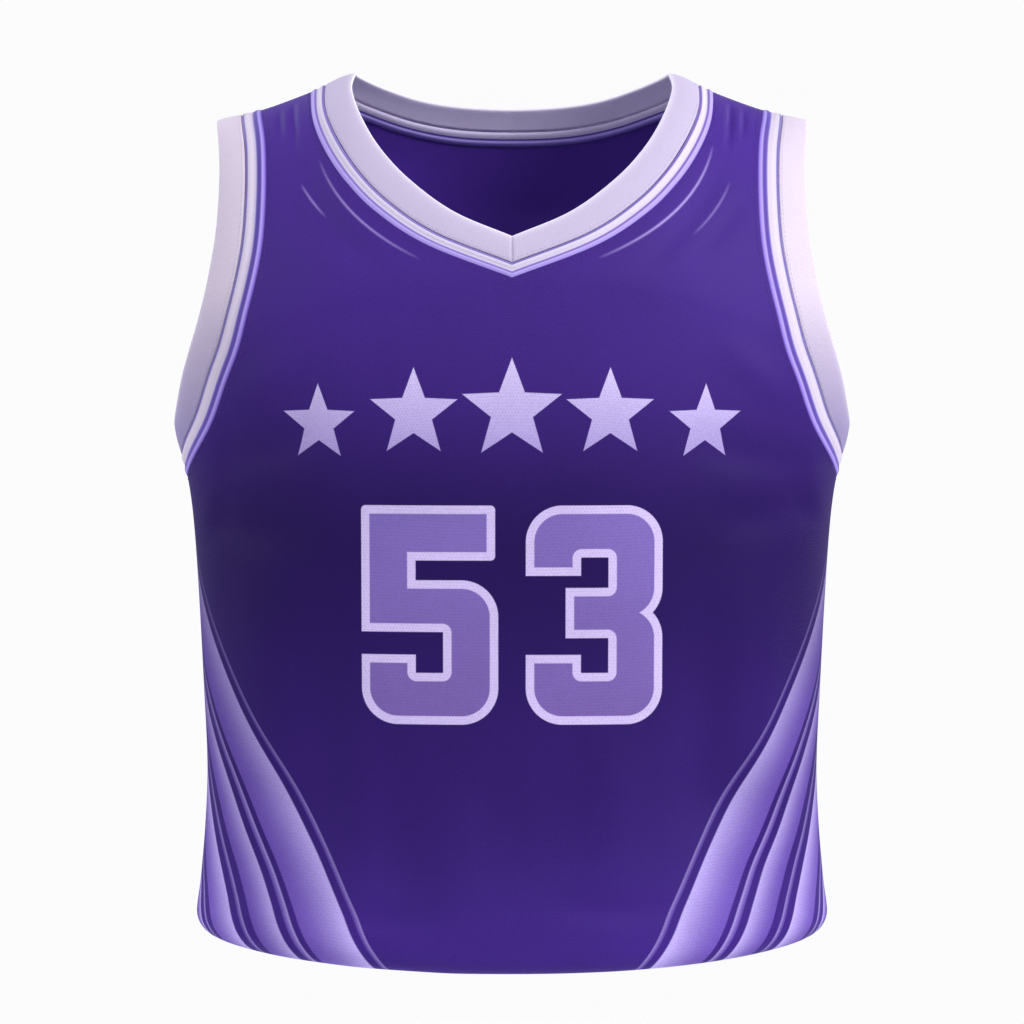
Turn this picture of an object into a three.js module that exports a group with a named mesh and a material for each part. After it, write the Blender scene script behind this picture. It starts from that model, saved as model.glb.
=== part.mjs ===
// Sleeveless basketball jersey, filled out as when worn. Millimetres, +Z up, the front faces -Y.
// The origin lies midway between the two high neck points, where the wearer's shoulders hold it up.
// Left and right are the wearer's, so left is +X.

import * as THREE from "three";

// Walls, seams and strip widths

const SEAM_GAP = 0.3;
const PANEL_WALL = 1.8;
const TAPE_WALL = 2.2;
const BAND_WALL = 2.8;
const NECK_TAPE_SHARE = 0.31;
const ARMHOLE_TAPE_SHARE = 0.39;

// Form of the filled-out body

const SECTION_SQUARENESS = 2.5;
const SHOULDER_FALL = 1.5;
const SHOULDER_ROUNDNESS = 2;
const SHOULDER_RUN = { front: 150, back: 100 };
const UNDERARM_HEIGHT = -272;

// Hem, rolled under all round and ending in a short lip that stands up inside

const HEM_SIDE_HEIGHT = -584;
const HEM_CENTRE_DIP = { front: 12, back: 5 };
const HEM_ROLL_IN = 12;
const HEM_ROLL_DOWN = 14;
const HEM_LIP = 10;

// Rows and columns of the wall, and the steps that lengths and heights are worked out in

const HALF_COLUMNS = 13;
const HEM_ROWS = 6;
const BODY_ROWS = 14;
const CHEST_ROWS = { front: 8, back: 12 };
const STRAP_ROWS = { front: 9, back: 5 };
const BAND_COLUMNS = 2;
const TAPE_COLUMNS = 1;
const LENGTH_STEPS = 240;
const HEIGHT_PASSES = 5;

// Where the strap's lowest row meets the armhole seam, as a share of the way from shoulder to underarm
const STRAP_START = { front: 0.375, back: 0.175 };

const DEGREE = Math.PI / 180;
const SIDE_SIGN = { front: -1, back: 1 };
const OTHER_SIDE = { front: "back", back: "front" };

// Half the width of the body, and how far front and back stand out from the side seams, by height
const BODY_SECTIONS = [
  { height: -600, halfWidth: 215.0, front: 127, back: 121 },
  { height: -570, halfWidth: 215.5, front: 127, back: 121 },
  { height: -550, halfWidth: 213.0, front: 124, back: 117 },
  { height: -510, halfWidth: 209.5, front: 119, back: 110 },
  { height: -470, halfWidth: 208.0, front: 117, back: 106 },
  { height: -420, halfWidth: 210.0, front: 118, back: 105 },
  { height: -350, halfWidth: 213.5, front: 123, back: 108 },
  { height: -300, halfWidth: 217.0, front: 127, back: 113 },
  { height: -272, halfWidth: 221.0, front: 129, back: 116 },
  { height: -238, halfWidth: 229.0, front: 130, back: 119 },
  { height: -200, halfWidth: 237.5, front: 130, back: 120 },
  { height: -150, halfWidth: 242.0, front: 129, back: 120 },
  { height: -80, halfWidth: 243.0, front: 126, back: 117 },
  { height: 20, halfWidth: 243.0, front: 120, back: 110 },
];

// The shoulder line, from the centre outwards; its part inside the neckline only carries the curve on
const SHOULDER_LINE = [
  { across: 0, height: 8 },
  { across: 60, height: 6 },
  { across: 105.7, height: 0 },
  { across: 135, height: -12 },
  { across: 171, height: -25 },
  { across: 200, height: -32 },
  { across: 240, height: -39 },
];

// Neckline: the free edge and the seam on the panel, from the shoulder to the centre
const NECKLINE = {
  front: [
    { freeAcross: 105.7, freeHeight: 0, seamAcross: 135.0, seamHeight: -12 },
    { freeAcross: 107.0, freeHeight: -13, seamAcross: 131.8, seamHeight: -34 },
    { freeAcross: 99.0, freeHeight: -34, seamAcross: 122.6, seamHeight: -55 },
    { freeAcross: 86.0, freeHeight: -55, seamAcross: 108.2, seamHeight: -76 },
    { freeAcross: 66.3, freeHeight: -76, seamAcross: 87.2, seamHeight: -97 },
    { freeAcross: 37.5, freeHeight: -97, seamAcross: 54.5, seamHeight: -118 },
    { freeAcross: 0, freeHeight: -113, seamAcross: 0, seamHeight: -139 },
  ],
  back: [
    { freeAcross: 105.7, freeHeight: 0, seamAcross: 135.0, seamHeight: -12 },
    { freeAcross: 86.7, freeHeight: -7, seamAcross: 104.0, seamHeight: -24 },
    { freeAcross: 62.6, freeHeight: -14, seamAcross: 72.6, seamHeight: -34 },
    { freeAcross: 34.7, freeHeight: -18, seamAcross: 39.0, seamHeight: -40 },
    { freeAcross: 0, freeHeight: -19.5, seamAcross: 0, seamHeight: -41.5 },
  ],
};

// Armhole: the free edge and the seam on the panel, from the shoulder to the underarm
const ARMHOLE = {
  front: [
    { freeAcross: 200.0, freeHeight: -32, seamAcross: 171.0, seamHeight: -25 },
    { freeAcross: 196.0, freeHeight: -60, seamAcross: 165.5, seamHeight: -50 },
    { freeAcross: 195.5, freeHeight: -90, seamAcross: 163.5, seamHeight: -86 },
    { freeAcross: 198.0, freeHeight: -120, seamAcross: 165.5, seamHeight: -123 },
    { freeAcross: 205.0, freeHeight: -155, seamAcross: 173.5, seamHeight: -160 },
    { freeAcross: 214.0, freeHeight: -185, seamAcross: 184.0, seamHeight: -196 },
    { freeAcross: 223.0, freeHeight: -215, seamAcross: 201.0, seamHeight: -238 },
    { freeAcross: 227.4, freeHeight: -231.5, seamAcross: 217.0, seamHeight: -264.5 },
    { freeAcross: 229.0, freeHeight: -238, seamAcross: 221.0, seamHeight: -272 },
  ],
  back: [
    { freeAcross: 200.0, freeHeight: -32, seamAcross: 171.0, seamHeight: -25 },
    { freeAcross: 198.0, freeHeight: -60, seamAcross: 168.0, seamHeight: -50 },
    { freeAcross: 197.0, freeHeight: -90, seamAcross: 167.0, seamHeight: -86 },
    { freeAcross: 198.0, freeHeight: -120, seamAcross: 168.0, seamHeight: -123 },
    { freeAcross: 204.0, freeHeight: -155, seamAcross: 174.0, seamHeight: -160 },
    { freeAcross: 213.0, freeHeight: -185, seamAcross: 184.0, seamHeight: -196 },
    { freeAcross: 223.0, freeHeight: -215, seamAcross: 201.0, seamHeight: -238 },
    { freeAcross: 227.4, freeHeight: -231.5, seamAcross: 217.0, seamHeight: -264.5 },
    { freeAcross: 229.0, freeHeight: -238, seamAcross: 221.0, seamHeight: -272 },
  ],
};

// Colours

const PANEL_CLOTH = new THREE.MeshStandardMaterial({ color: 0x3b2182, roughness: 0.62, metalness: 0 });
const BAND_CLOTH = new THREE.MeshStandardMaterial({ color: 0xd8cfe6, roughness: 0.75, metalness: 0 });
const TAPE_CLOTH = new THREE.MeshStandardMaterial({ color: 0xb9a3ea, roughness: 0.68, metalness: 0 });

// Reads a column of a table at a value of its key column, with a smooth curve through the rows.
function readTable(rows, key, column, at) {
  const last = rows.length - 1;
  const value = THREE.MathUtils.clamp(at, rows[0][key], rows[last][key]);
  let i = 0;
  while (i < last - 1 && rows[i + 1][key] < value) {
    i += 1;
  }
  const slope = (j) => {
    const low = rows[Math.max(j - 1, 0)];
    const high = rows[Math.min(j + 1, last)];
    return (high[column] - low[column]) / (high[key] - low[key]);
  };
  const span = rows[i + 1][key] - rows[i][key];
  const f = (value - rows[i][key]) / span;
  const g = 1 - f;
  const start = g * g * ((1 + 2 * f) * rows[i][column] + f * span * slope(i));
  const end = f * f * ((3 - 2 * f) * rows[i + 1][column] - g * span * slope(i + 1));
  return start + end;
}

function shoulderHeight(across) {
  return readTable(SHOULDER_LINE, "across", "height", Math.abs(across));
}

function halfWidthAt(height) {
  return readTable(BODY_SECTIONS, "height", "halfWidth", height);
}

// How much of its full depth the cloth has reached at a share of the shoulder's run below its top.
function fallFromShoulder(share) {
  const left = 1 - Math.min(share, 1);
  return (1 - left ** SHOULDER_FALL) ** (1 / SHOULDER_ROUNDNESS);
}

// A point of the cloth's middle surface. Turn goes from 0 at the centre to 90 degrees at the side seam.
// Past the side seam or over the shoulder line, the surface carries on into the other side.
function clothPoint(side, turn, height) {
  if (Math.abs(turn) > 90) {
    return clothPoint(OTHER_SIDE[side], Math.sign(turn) * 180 - turn, height);
  }
  const across = halfWidthAt(height) * Math.sin(turn * DEGREE);
  const drop = shoulderHeight(across) - height;
  if (drop < 0) {
    return clothPoint(OTHER_SIDE[side], turn, height + 2 * drop);
  }
  const roundness = Math.sqrt(1 - Math.abs(Math.sin(turn * DEGREE)) ** SECTION_SQUARENESS);
  const depth = readTable(BODY_SECTIONS, "height", side, height);
  const reach = depth * roundness * fallFromShoulder(drop / SHOULDER_RUN[side]);
  return new THREE.Vector3(across, SIDE_SIGN[side] * reach, height);
}

function clothNormal(side, turn, height) {
  const turnStep = 0.4;
  const heightStep = 0.8;
  const along = clothPoint(side, turn + turnStep, height).sub(clothPoint(side, turn - turnStep, height));
  const down = clothPoint(side, turn, height - heightStep).sub(clothPoint(side, turn, height + heightStep));
  return along.cross(down).multiplyScalar(SIDE_SIGN[side]).normalize();
}

// A place on the cloth: its side, turn and height, and for the hem how far it has rolled under.
function place(side, turn, height, extra = {}) {
  return { side, turn, height, ...extra };
}

// The point and outward direction of a place. A place on a shoulder or side seam steps back half a gap.
function clothAt(spot) {
  const point = clothPoint(spot.side, spot.turn, spot.height);
  const outward = clothNormal(spot.side, spot.turn, spot.height);
  if (spot.roll !== undefined) {
    outward.setZ(0).normalize();
    point.addScaledVector(outward, -HEM_ROLL_IN * (1 - Math.cos(spot.roll)));
    point.z += spot.lift - HEM_ROLL_DOWN * Math.sin(spot.roll);
    outward.multiplyScalar(HEM_ROLL_DOWN * Math.cos(spot.roll));
    outward.z = -HEM_ROLL_IN * Math.sin(spot.roll);
    outward.normalize();
  }
  if (spot.onSeam) {
    point.y += (SIDE_SIGN[spot.side] * SEAM_GAP) / 2;
  }
  return { point, outward };
}

// How far a place lies below the shoulder line, on a scale where the rounded top is evenly spaced.
function fallRoot(spot) {
  const across = halfWidthAt(spot.height) * Math.sin(spot.turn * DEGREE);
  return Math.max(shoulderHeight(across) - spot.height, 0) ** (1 / SHOULDER_ROUNDNESS);
}

// The place a share of the way from one place to another, both on the same side of the body.
// The shoulder line above it depends on its height, so that is found in a few passes.
function between(from, to, share) {
  const turn = THREE.MathUtils.lerp(from.turn, to.turn, share);
  const root = Math.max(THREE.MathUtils.lerp(fallRoot(from), fallRoot(to), share), 0);
  let height = THREE.MathUtils.lerp(from.height, to.height, share);
  for (let pass = 0; pass < HEIGHT_PASSES; pass += 1) {
    const across = halfWidthAt(height) * Math.sin(turn * DEGREE);
    height = shoulderHeight(across) - root ** SHOULDER_ROUNDNESS;
  }
  return place(from.side, turn, height);
}

// The edge through one pair of columns of a neckline or armhole table, as a curve of turn and height.
// Where the edge runs on past its last row, it bends there as its mirror image does.
function edgeCurve(rows, kind, side, mirrorTurn) {
  const points = rows.map((row) => {
    const across = row[kind + "Across"];
    const height = Math.min(row[kind + "Height"], shoulderHeight(across));
    const turn = Math.asin(Math.min(across / halfWidthAt(height), 1)) / DEGREE;
    return new THREE.Vector3(turn, height, 0);
  });
  const real = points.length - 1;
  if (mirrorTurn !== undefined) {
    points[real].x = mirrorTurn;
    points.push(new THREE.Vector3(2 * mirrorTurn - points[real - 1].x, points[real - 1].y, 0));
  }
  const curve = new THREE.CatmullRomCurve3(points);
  return (share) => {
    const at = curve.getPoint((share * real) / (points.length - 1));
    const top = shoulderHeight(halfWidthAt(at.y) * Math.sin(at.x * DEGREE));
    return place(side, at.x, Math.min(at.y, top));
  };
}

// The strip between the seam on a panel and the free edge of a neckline or armhole.
function edging(table, side, mirrorTurn) {
  const seam = edgeCurve(table[side], "seam", side, mirrorTurn);
  const free = edgeCurve(table[side], "free", side, mirrorTurn);
  const width = (share) => clothAt(seam(share)).point.distanceTo(clothAt(free(share)).point);
  return {
    seam,
    // The place at a share of the edging's length and of its width, and some millimetres past that
    at(share, part, past) {
      return between(seam(share), free(share), part + past / width(share));
    },
  };
}

const NECK_EDGING = {
  front: edging(NECKLINE, "front"),
  back: edging(NECKLINE, "back", 0),
};

const ARMHOLE_EDGING = {
  front: edging(ARMHOLE, "front", 90),
  back: edging(ARMHOLE, "back", 90),
};

// Shares along an edge that lie evenly far apart on the cloth.
function evenShares(curve, from, to, count) {
  const shares = [from];
  const lengths = [0];
  let last = clothAt(curve(from)).point;
  for (let i = 1; i <= LENGTH_STEPS; i += 1) {
    const share = THREE.MathUtils.lerp(from, to, i / LENGTH_STEPS);
    const point = clothAt(curve(share)).point;
    shares.push(share);
    lengths.push(lengths[i - 1] + point.distanceTo(last));
    last = point;
  }
  const result = [];
  let i = 0;
  for (let step = 0; step <= count; step += 1) {
    const target = (lengths[LENGTH_STEPS] * step) / count;
    while (i < LENGTH_STEPS - 1 && lengths[i + 1] < target) {
      i += 1;
    }
    const f = (target - lengths[i]) / (lengths[i + 1] - lengths[i]);
    result.push(THREE.MathUtils.lerp(shares[i], shares[i + 1], f));
  }
  return result;
}

// Shares from the underarm up to the shoulder where the panel's rows meet the armhole.
function armholeShares(side) {
  const curve = ARMHOLE_EDGING[side].seam;
  const chest = evenShares(curve, 1, STRAP_START[side], CHEST_ROWS[side]);
  const strap = evenShares(curve, STRAP_START[side], 0, STRAP_ROWS[side]);
  return [...chest, ...strap.slice(1)];
}

// Shares from the centre up to the shoulder where the strap's rows meet the neckline.
function neckShares(side) {
  return evenShares(NECK_EDGING[side].seam, 1, 0, STRAP_ROWS[side]);
}

function mirrorTurnOf(spot, hand) {
  return { ...spot, turn: spot.turn * hand };
}

// Closes a sheet of places into a wall: a layer outside, a layer inside and a rim along every open edge.
function wallGeometry(spots, quads, wall) {
  const positions = [];
  const outerCount = spots.length;
  const frames = spots.map(clothAt);
  for (const direction of [1, -1]) {
    for (const { point, outward } of frames) {
      positions.push(point.clone().addScaledVector(outward, (direction * wall) / 2));
    }
  }
  const triangles = [];
  const edges = new Set();
  for (const [a, b, c, d] of quads) {
    const shortAcross = positions[a].distanceTo(positions[c]) <= positions[b].distanceTo(positions[d]);
    const halves = shortAcross ? [[a, b, c], [a, c, d]] : [[b, c, d], [b, d, a]];
    for (const [p, q, r] of halves) {
      triangles.push([p, q, r], [r + outerCount, q + outerCount, p + outerCount]);
    }
    for (const [from, to] of [[a, b], [b, c], [c, d], [d, a]]) {
      edges.add(from + " " + to);
    }
  }
  for (const edge of edges) {
    const [from, to] = edge.split(" ").map(Number);
    if (!edges.has(to + " " + from)) {
      triangles.push([to, from, from + outerCount], [to, from + outerCount, to + outerCount]);
    }
  }
  return facingOut(positions, triangles);
}

// A geometry of these triangles, turned over if they enclose less than nothing, so that they face out.
function facingOut(positions, triangles) {
  let volume = 0;
  for (const [a, b, c] of triangles) {
    volume += positions[a].dot(positions[b].clone().cross(positions[c]));
  }
  const index = triangles.flatMap(([a, b, c]) => (volume > 0 ? [a, b, c] : [a, c, b]));
  const geometry = new THREE.BufferGeometry();
  const numbers = positions.flatMap((point) => point.toArray());
  geometry.setAttribute("position", new THREE.Float32BufferAttribute(numbers, 3));
  geometry.setIndex(index);
  geometry.computeVertexNormals();
  return geometry;
}

// Rows of one panel from the lip inside the hem up to the lowest row that still runs right across.
function fullRows(side) {
  const rows = [];
  const hemTop = (turn) => {
    const dip = HEM_CENTRE_DIP[side] * Math.cos(turn * DEGREE) ** 2;
    return HEM_SIDE_HEIGHT + HEM_ROLL_DOWN - dip;
  };
  const columns = [];
  for (let column = -HALF_COLUMNS; column <= HALF_COLUMNS; column += 1) {
    columns.push(column / HALF_COLUMNS);
  }
  const rollRow = (roll, lift) => columns.map((share) => {
    const turn = share * 90;
    return place(side, turn, hemTop(turn), { roll, lift, onSeam: Math.abs(share) === 1 });
  });
  rows.push(rollRow(Math.PI, HEM_LIP));
  for (let step = HEM_ROWS; step > 0; step -= 1) {
    rows.push(rollRow((Math.PI * step) / HEM_ROWS, 0));
  }
  for (let step = 0; step < BODY_ROWS; step += 1) {
    rows.push(columns.map((share) => {
      const turn = share * 90;
      const height = THREE.MathUtils.lerp(hemTop(turn), UNDERARM_HEIGHT, step / BODY_ROWS);
      return place(side, turn, height, { onSeam: Math.abs(share) === 1 });
    }));
  }
  const shares = armholeShares(side).slice(0, CHEST_ROWS[side] + 1);
  const neckBottom = NECK_EDGING[side].at(1, 0, -SEAM_GAP / 2).height;
  shares.forEach((share, step) => {
    const edge = ARMHOLE_EDGING[side].at(share, 0, -SEAM_GAP / 2);
    const centre = THREE.MathUtils.lerp(UNDERARM_HEIGHT, neckBottom, step / CHEST_ROWS[side]);
    rows.push(columns.map((column) => {
      const height = THREE.MathUtils.lerp(centre, edge.height, column ** 2);
      return place(side, column * edge.turn, height, { onSeam: step === 0 && Math.abs(column) === 1 });
    }));
  });
  return rows;
}

// Rows of one strap above the lowest one, each from the neckline out to the armhole.
function strapRows(side, hand) {
  const neck = neckShares(side);
  const arm = armholeShares(side).slice(CHEST_ROWS[side]);
  const rows = [];
  for (let step = 1; step <= STRAP_ROWS[side]; step += 1) {
    const from = NECK_EDGING[side].at(neck[step], 0, -SEAM_GAP / 2);
    const to = ARMHOLE_EDGING[side].at(arm[step], 0, -SEAM_GAP / 2);
    const row = [];
    for (let column = 0; column <= HALF_COLUMNS; column += 1) {
      const share = column / HALF_COLUMNS;
      const spot = between(from, to, share);
      const flat = THREE.MathUtils.lerp(from.height, to.height, share ** 2);
      spot.height = THREE.MathUtils.lerp(flat, spot.height, step / STRAP_ROWS[side]);
      spot.onSeam = step === STRAP_ROWS[side];
      row.push(mirrorTurnOf(spot, hand));
    }
    rows.push(row);
  }
  return rows;
}

function panel(side) {
  const spots = [];
  const quads = [];
  const addRow = (row) => row.map((spot) => spots.push(spot) - 1);
  const joinRows = (low, high) => {
    for (let i = 0; i + 1 < low.length; i += 1) {
      quads.push([low[i], low[i + 1], high[i + 1], high[i]]);
    }
  };
  const full = fullRows(side).map(addRow);
  for (let i = 0; i + 1 < full.length; i += 1) {
    joinRows(full[i], full[i + 1]);
  }
  const top = full[full.length - 1];
  for (const hand of [-1, 1]) {
    let low = top.filter((index, column) => (column - HALF_COLUMNS) * hand >= 0);
    if (hand < 0) {
      low.reverse();
    }
    for (const row of strapRows(side, hand)) {
      const high = addRow(row);
      joinRows(hand > 0 ? low : [...low].reverse(), hand > 0 ? high : [...high].reverse());
      low = high;
    }
  }
  return wallGeometry(spots, quads, PANEL_WALL);
}

// A strip along an edging: a list of stations, each with the edging, the share along it and its hand.
function strip(stations, parts, wall, closed) {
  const spots = [];
  const rows = stations.map(({ edge, share, hand, shift }) => parts.map(({ part, past }) => {
    const spot = mirrorTurnOf(edge.at(share, part, past), hand);
    spot.turn += shift ?? 0;
    return spots.push(spot) - 1;
  }));
  const quads = [];
  const last = closed ? rows.length : rows.length - 1;
  for (let i = 0; i < last; i += 1) {
    const next = rows[(i + 1) % rows.length];
    for (let column = 0; column + 1 < parts.length; column += 1) {
      quads.push([rows[i][column], rows[i][column + 1], next[column + 1], next[column]]);
    }
  }
  return wallGeometry(spots, quads, wall);
}

// The columns of a tape, from the panel's seam to the seam with its band.
function tapeParts(tapeShare) {
  const parts = [];
  for (let column = 0; column <= TAPE_COLUMNS; column += 1) {
    const share = column / TAPE_COLUMNS;
    parts.push({ part: share * tapeShare, past: (0.5 - share) * SEAM_GAP });
  }
  return parts;
}

// The columns of a band, from its seam with the tape to its free edge.
function bandParts(tapeShare) {
  const parts = [];
  for (let column = 0; column <= BAND_COLUMNS; column += 1) {
    const share = column / BAND_COLUMNS;
    parts.push({
      part: THREE.MathUtils.lerp(tapeShare, 1, share),
      past: (1 - share) * 0.5 * SEAM_GAP,
    });
  }
  return parts;
}

// Stations round the neck, from the centre front over one shoulder to the back and over the other.
// A mitred strip has two ends half a gap away from the centre front.
function neckStations(mitred) {
  const front = neckShares("front").map((share) => ({ edge: NECK_EDGING.front, share }));
  const back = neckShares("back").map((share) => ({ edge: NECK_EDGING.back, share }));
  const half = [...front, ...back.slice(0, -1).reverse()];
  const leftHalf = half.map((station) => ({ ...station, hand: 1 }));
  const rightHalf = half.slice(mitred ? 0 : 1, -1).reverse().map((station) => ({ ...station, hand: -1 }));
  const stations = [...leftHalf, ...rightHalf];
  if (mitred) {
    const halfGapTurn = SEAM_GAP / 2 / halfWidthAt(0) / DEGREE;
    stations[0].shift = halfGapTurn;
    stations[stations.length - 1].shift = -halfGapTurn;
  }
  return stations;
}

// Stations round one armhole, from the underarm up the front, over the shoulder and down the back.
function armholeStations(hand) {
  const front = armholeShares("front").map((share) => ({ edge: ARMHOLE_EDGING.front, share, hand }));
  const back = armholeShares("back").map((share) => ({ edge: ARMHOLE_EDGING.back, share, hand }));
  return [...front, ...back.slice(1, -1).reverse()];
}

function sewnPiece(name, geometry, material) {
  const mesh = new THREE.Mesh(geometry, material);
  mesh.name = name;
  return mesh;
}

const jersey = new THREE.Group();
jersey.add(sewnPiece("front_panel", panel("front"), PANEL_CLOTH));
jersey.add(sewnPiece("back_panel", panel("back"), PANEL_CLOTH));

const neckTape = strip(neckStations(false), tapeParts(NECK_TAPE_SHARE), TAPE_WALL, true);
const neckBand = strip(neckStations(true), bandParts(NECK_TAPE_SHARE), BAND_WALL, false);
jersey.add(sewnPiece("collar_trim", neckTape, TAPE_CLOTH));
jersey.add(sewnPiece("collar_band", neckBand, BAND_CLOTH));

for (const [name, hand] of [["left", 1], ["right", -1]]) {
  const stations = armholeStations(hand);
  const tape = strip(stations, tapeParts(ARMHOLE_TAPE_SHARE), TAPE_WALL, true);
  const band = strip(stations, bandParts(ARMHOLE_TAPE_SHARE), BAND_WALL, true);
  jersey.add(sewnPiece("armhole_trim_" + name, tape, TAPE_CLOTH));
  jersey.add(sewnPiece("armhole_band_" + name, band, BAND_CLOTH));
}

export default jersey;
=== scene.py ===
"""Sleeveless basketball jersey, filled out as when worn.

Knit front and back panels with a printed pattern, folded rib bands at the neck and armholes, striped tapes
between bands and panels, and the sewing. Metres, +Z up, the front faces -Y, left is the wearer's, +X.
"""

import logging
import math
from dataclasses import dataclass, field
from enum import Enum
from typing import Sequence

import bmesh
import bpy
import numpy as np
from mathutils import Matrix, Vector


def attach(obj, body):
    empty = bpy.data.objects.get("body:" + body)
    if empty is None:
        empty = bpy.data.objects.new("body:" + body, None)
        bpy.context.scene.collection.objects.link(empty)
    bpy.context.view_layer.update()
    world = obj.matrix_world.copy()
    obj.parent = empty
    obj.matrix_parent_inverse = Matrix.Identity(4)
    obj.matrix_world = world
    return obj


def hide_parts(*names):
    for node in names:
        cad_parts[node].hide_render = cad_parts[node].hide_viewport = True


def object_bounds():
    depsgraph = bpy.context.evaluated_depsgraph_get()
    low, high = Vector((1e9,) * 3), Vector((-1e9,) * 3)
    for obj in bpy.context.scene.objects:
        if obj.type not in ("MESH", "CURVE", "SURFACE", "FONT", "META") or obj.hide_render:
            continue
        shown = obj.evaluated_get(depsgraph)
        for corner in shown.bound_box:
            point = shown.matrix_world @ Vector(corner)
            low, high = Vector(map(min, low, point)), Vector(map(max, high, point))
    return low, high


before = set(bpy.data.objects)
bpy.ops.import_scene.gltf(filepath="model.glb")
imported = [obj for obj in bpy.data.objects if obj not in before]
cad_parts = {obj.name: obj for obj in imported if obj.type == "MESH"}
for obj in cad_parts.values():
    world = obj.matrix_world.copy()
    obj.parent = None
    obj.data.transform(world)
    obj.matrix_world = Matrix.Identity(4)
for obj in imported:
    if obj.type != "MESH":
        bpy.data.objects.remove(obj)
CAD_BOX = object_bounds()

LOG = logging.getLogger("jersey")
Colour = tuple[float, float, float, float]
Point = tuple[float, float]
Places = tuple[np.ndarray, np.ndarray]
Socket = bpy.types.NodeSocket
Material = bpy.types.Material
Piece = bpy.types.Object
BODY = "root"

# Sizes that the cloth form is worked out from

SECTION_SQUARENESS = 2.5
SHOULDER_FALL = 1.5
SHOULDER_ROUNDNESS = 2.0
UNDERARM_HEIGHT = -0.272
HEM_SIDE_HEIGHT = -0.584
HEM_ROLL_IN = 0.012
HEM_ROLL_DOWN = 0.014
HEM_LIP = 0.010
BAR_SLANT = 0.66
STAR_VALLEY = 0.42
SIDE_SEAM_DEPTH = 0.0006


class Side(Enum):
    """The front or the back of the jersey, with the sign of its Y."""

    FRONT = -1
    BACK = 1


class Hand(Enum):
    """The wearer's left or right, with the sign of its X."""

    LEFT = 1
    RIGHT = -1


class Opening(Enum):
    """An opening that has a band and a tape round it."""

    NECK = "neck"
    ARMHOLE = "armhole"


# How much of the width between panel and free edge the tape takes
TAPE_SHARE: dict[Opening, float] = {Opening.NECK: 0.31, Opening.ARMHOLE: 0.39}


@dataclass(frozen=True)
class BodySection:
    """The filled-out body at one height: half its width, and its depth in front and behind."""

    height: float
    half_width: float
    front: float
    back: float


@dataclass(frozen=True)
class EdgeRow:
    """A station of an opening, in front view: its free edge and its seam on the panel."""

    free_across: float
    free_height: float
    seam_across: float
    seam_height: float


BODY_SECTIONS: tuple[BodySection, ...] = (
    BodySection(-0.600, 0.2150, 0.127, 0.121),
    BodySection(-0.570, 0.2155, 0.127, 0.121),
    BodySection(-0.550, 0.2130, 0.124, 0.117),
    BodySection(-0.510, 0.2095, 0.119, 0.110),
    BodySection(-0.470, 0.2080, 0.117, 0.106),
    BodySection(-0.420, 0.2100, 0.118, 0.105),
    BodySection(-0.350, 0.2135, 0.123, 0.108),
    BodySection(-0.300, 0.2170, 0.127, 0.113),
    BodySection(-0.272, 0.2210, 0.129, 0.116),
    BodySection(-0.238, 0.2290, 0.130, 0.119),
    BodySection(-0.200, 0.2375, 0.130, 0.120),
    BodySection(-0.150, 0.2420, 0.129, 0.120),
    BodySection(-0.080, 0.2430, 0.126, 0.117),
    BodySection(0.020, 0.2430, 0.120, 0.110),
)

# The shoulder line from the centre outwards: across, height
SHOULDER_LINE: tuple[tuple[float, float], ...] = (
    (0.000, 0.008), (0.060, 0.006), (0.1057, 0.000), (0.135, -0.012),
    (0.171, -0.025), (0.200, -0.032), (0.240, -0.039),
)

EDGE_ROWS: dict[tuple[Opening, Side], tuple[EdgeRow, ...]] = {
    (Opening.NECK, Side.FRONT): (
        EdgeRow(0.1057, 0.000, 0.1350, -0.012),
        EdgeRow(0.1070, -0.013, 0.1318, -0.034),
        EdgeRow(0.0990, -0.034, 0.1226, -0.055),
        EdgeRow(0.0860, -0.055, 0.1082, -0.076),
        EdgeRow(0.0663, -0.076, 0.0872, -0.097),
        EdgeRow(0.0375, -0.097, 0.0545, -0.118),
        EdgeRow(0.0000, -0.113, 0.0000, -0.139),
    ),
    (Opening.NECK, Side.BACK): (
        EdgeRow(0.1057, 0.000, 0.1350, -0.012),
        EdgeRow(0.0867, -0.007, 0.1040, -0.024),
        EdgeRow(0.0626, -0.014, 0.0726, -0.034),
        EdgeRow(0.0347, -0.018, 0.0390, -0.040),
        EdgeRow(0.0000, -0.0195, 0.0000, -0.0415),
    ),
    (Opening.ARMHOLE, Side.FRONT): (
        EdgeRow(0.2000, -0.032, 0.1710, -0.025),
        EdgeRow(0.1960, -0.060, 0.1655, -0.050),
        EdgeRow(0.1955, -0.090, 0.1635, -0.086),
        EdgeRow(0.1980, -0.120, 0.1655, -0.123),
        EdgeRow(0.2050, -0.155, 0.1735, -0.160),
        EdgeRow(0.2140, -0.185, 0.1840, -0.196),
        EdgeRow(0.2230, -0.215, 0.2010, -0.238),
        EdgeRow(0.2274, -0.2315, 0.2170, -0.2645),
        EdgeRow(0.2290, -0.238, 0.2210, -0.272),
    ),
    (Opening.ARMHOLE, Side.BACK): (
        EdgeRow(0.2000, -0.032, 0.1710, -0.025),
        EdgeRow(0.1980, -0.060, 0.1680, -0.050),
        EdgeRow(0.1970, -0.090, 0.1670, -0.086),
        EdgeRow(0.1980, -0.120, 0.1680, -0.123),
        EdgeRow(0.2040, -0.155, 0.1740, -0.160),
        EdgeRow(0.2130, -0.185, 0.1840, -0.196),
        EdgeRow(0.2230, -0.215, 0.2010, -0.238),
        EdgeRow(0.2274, -0.2315, 0.2170, -0.2645),
        EdgeRow(0.2290, -0.238, 0.2210, -0.272),
    ),
}

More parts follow.
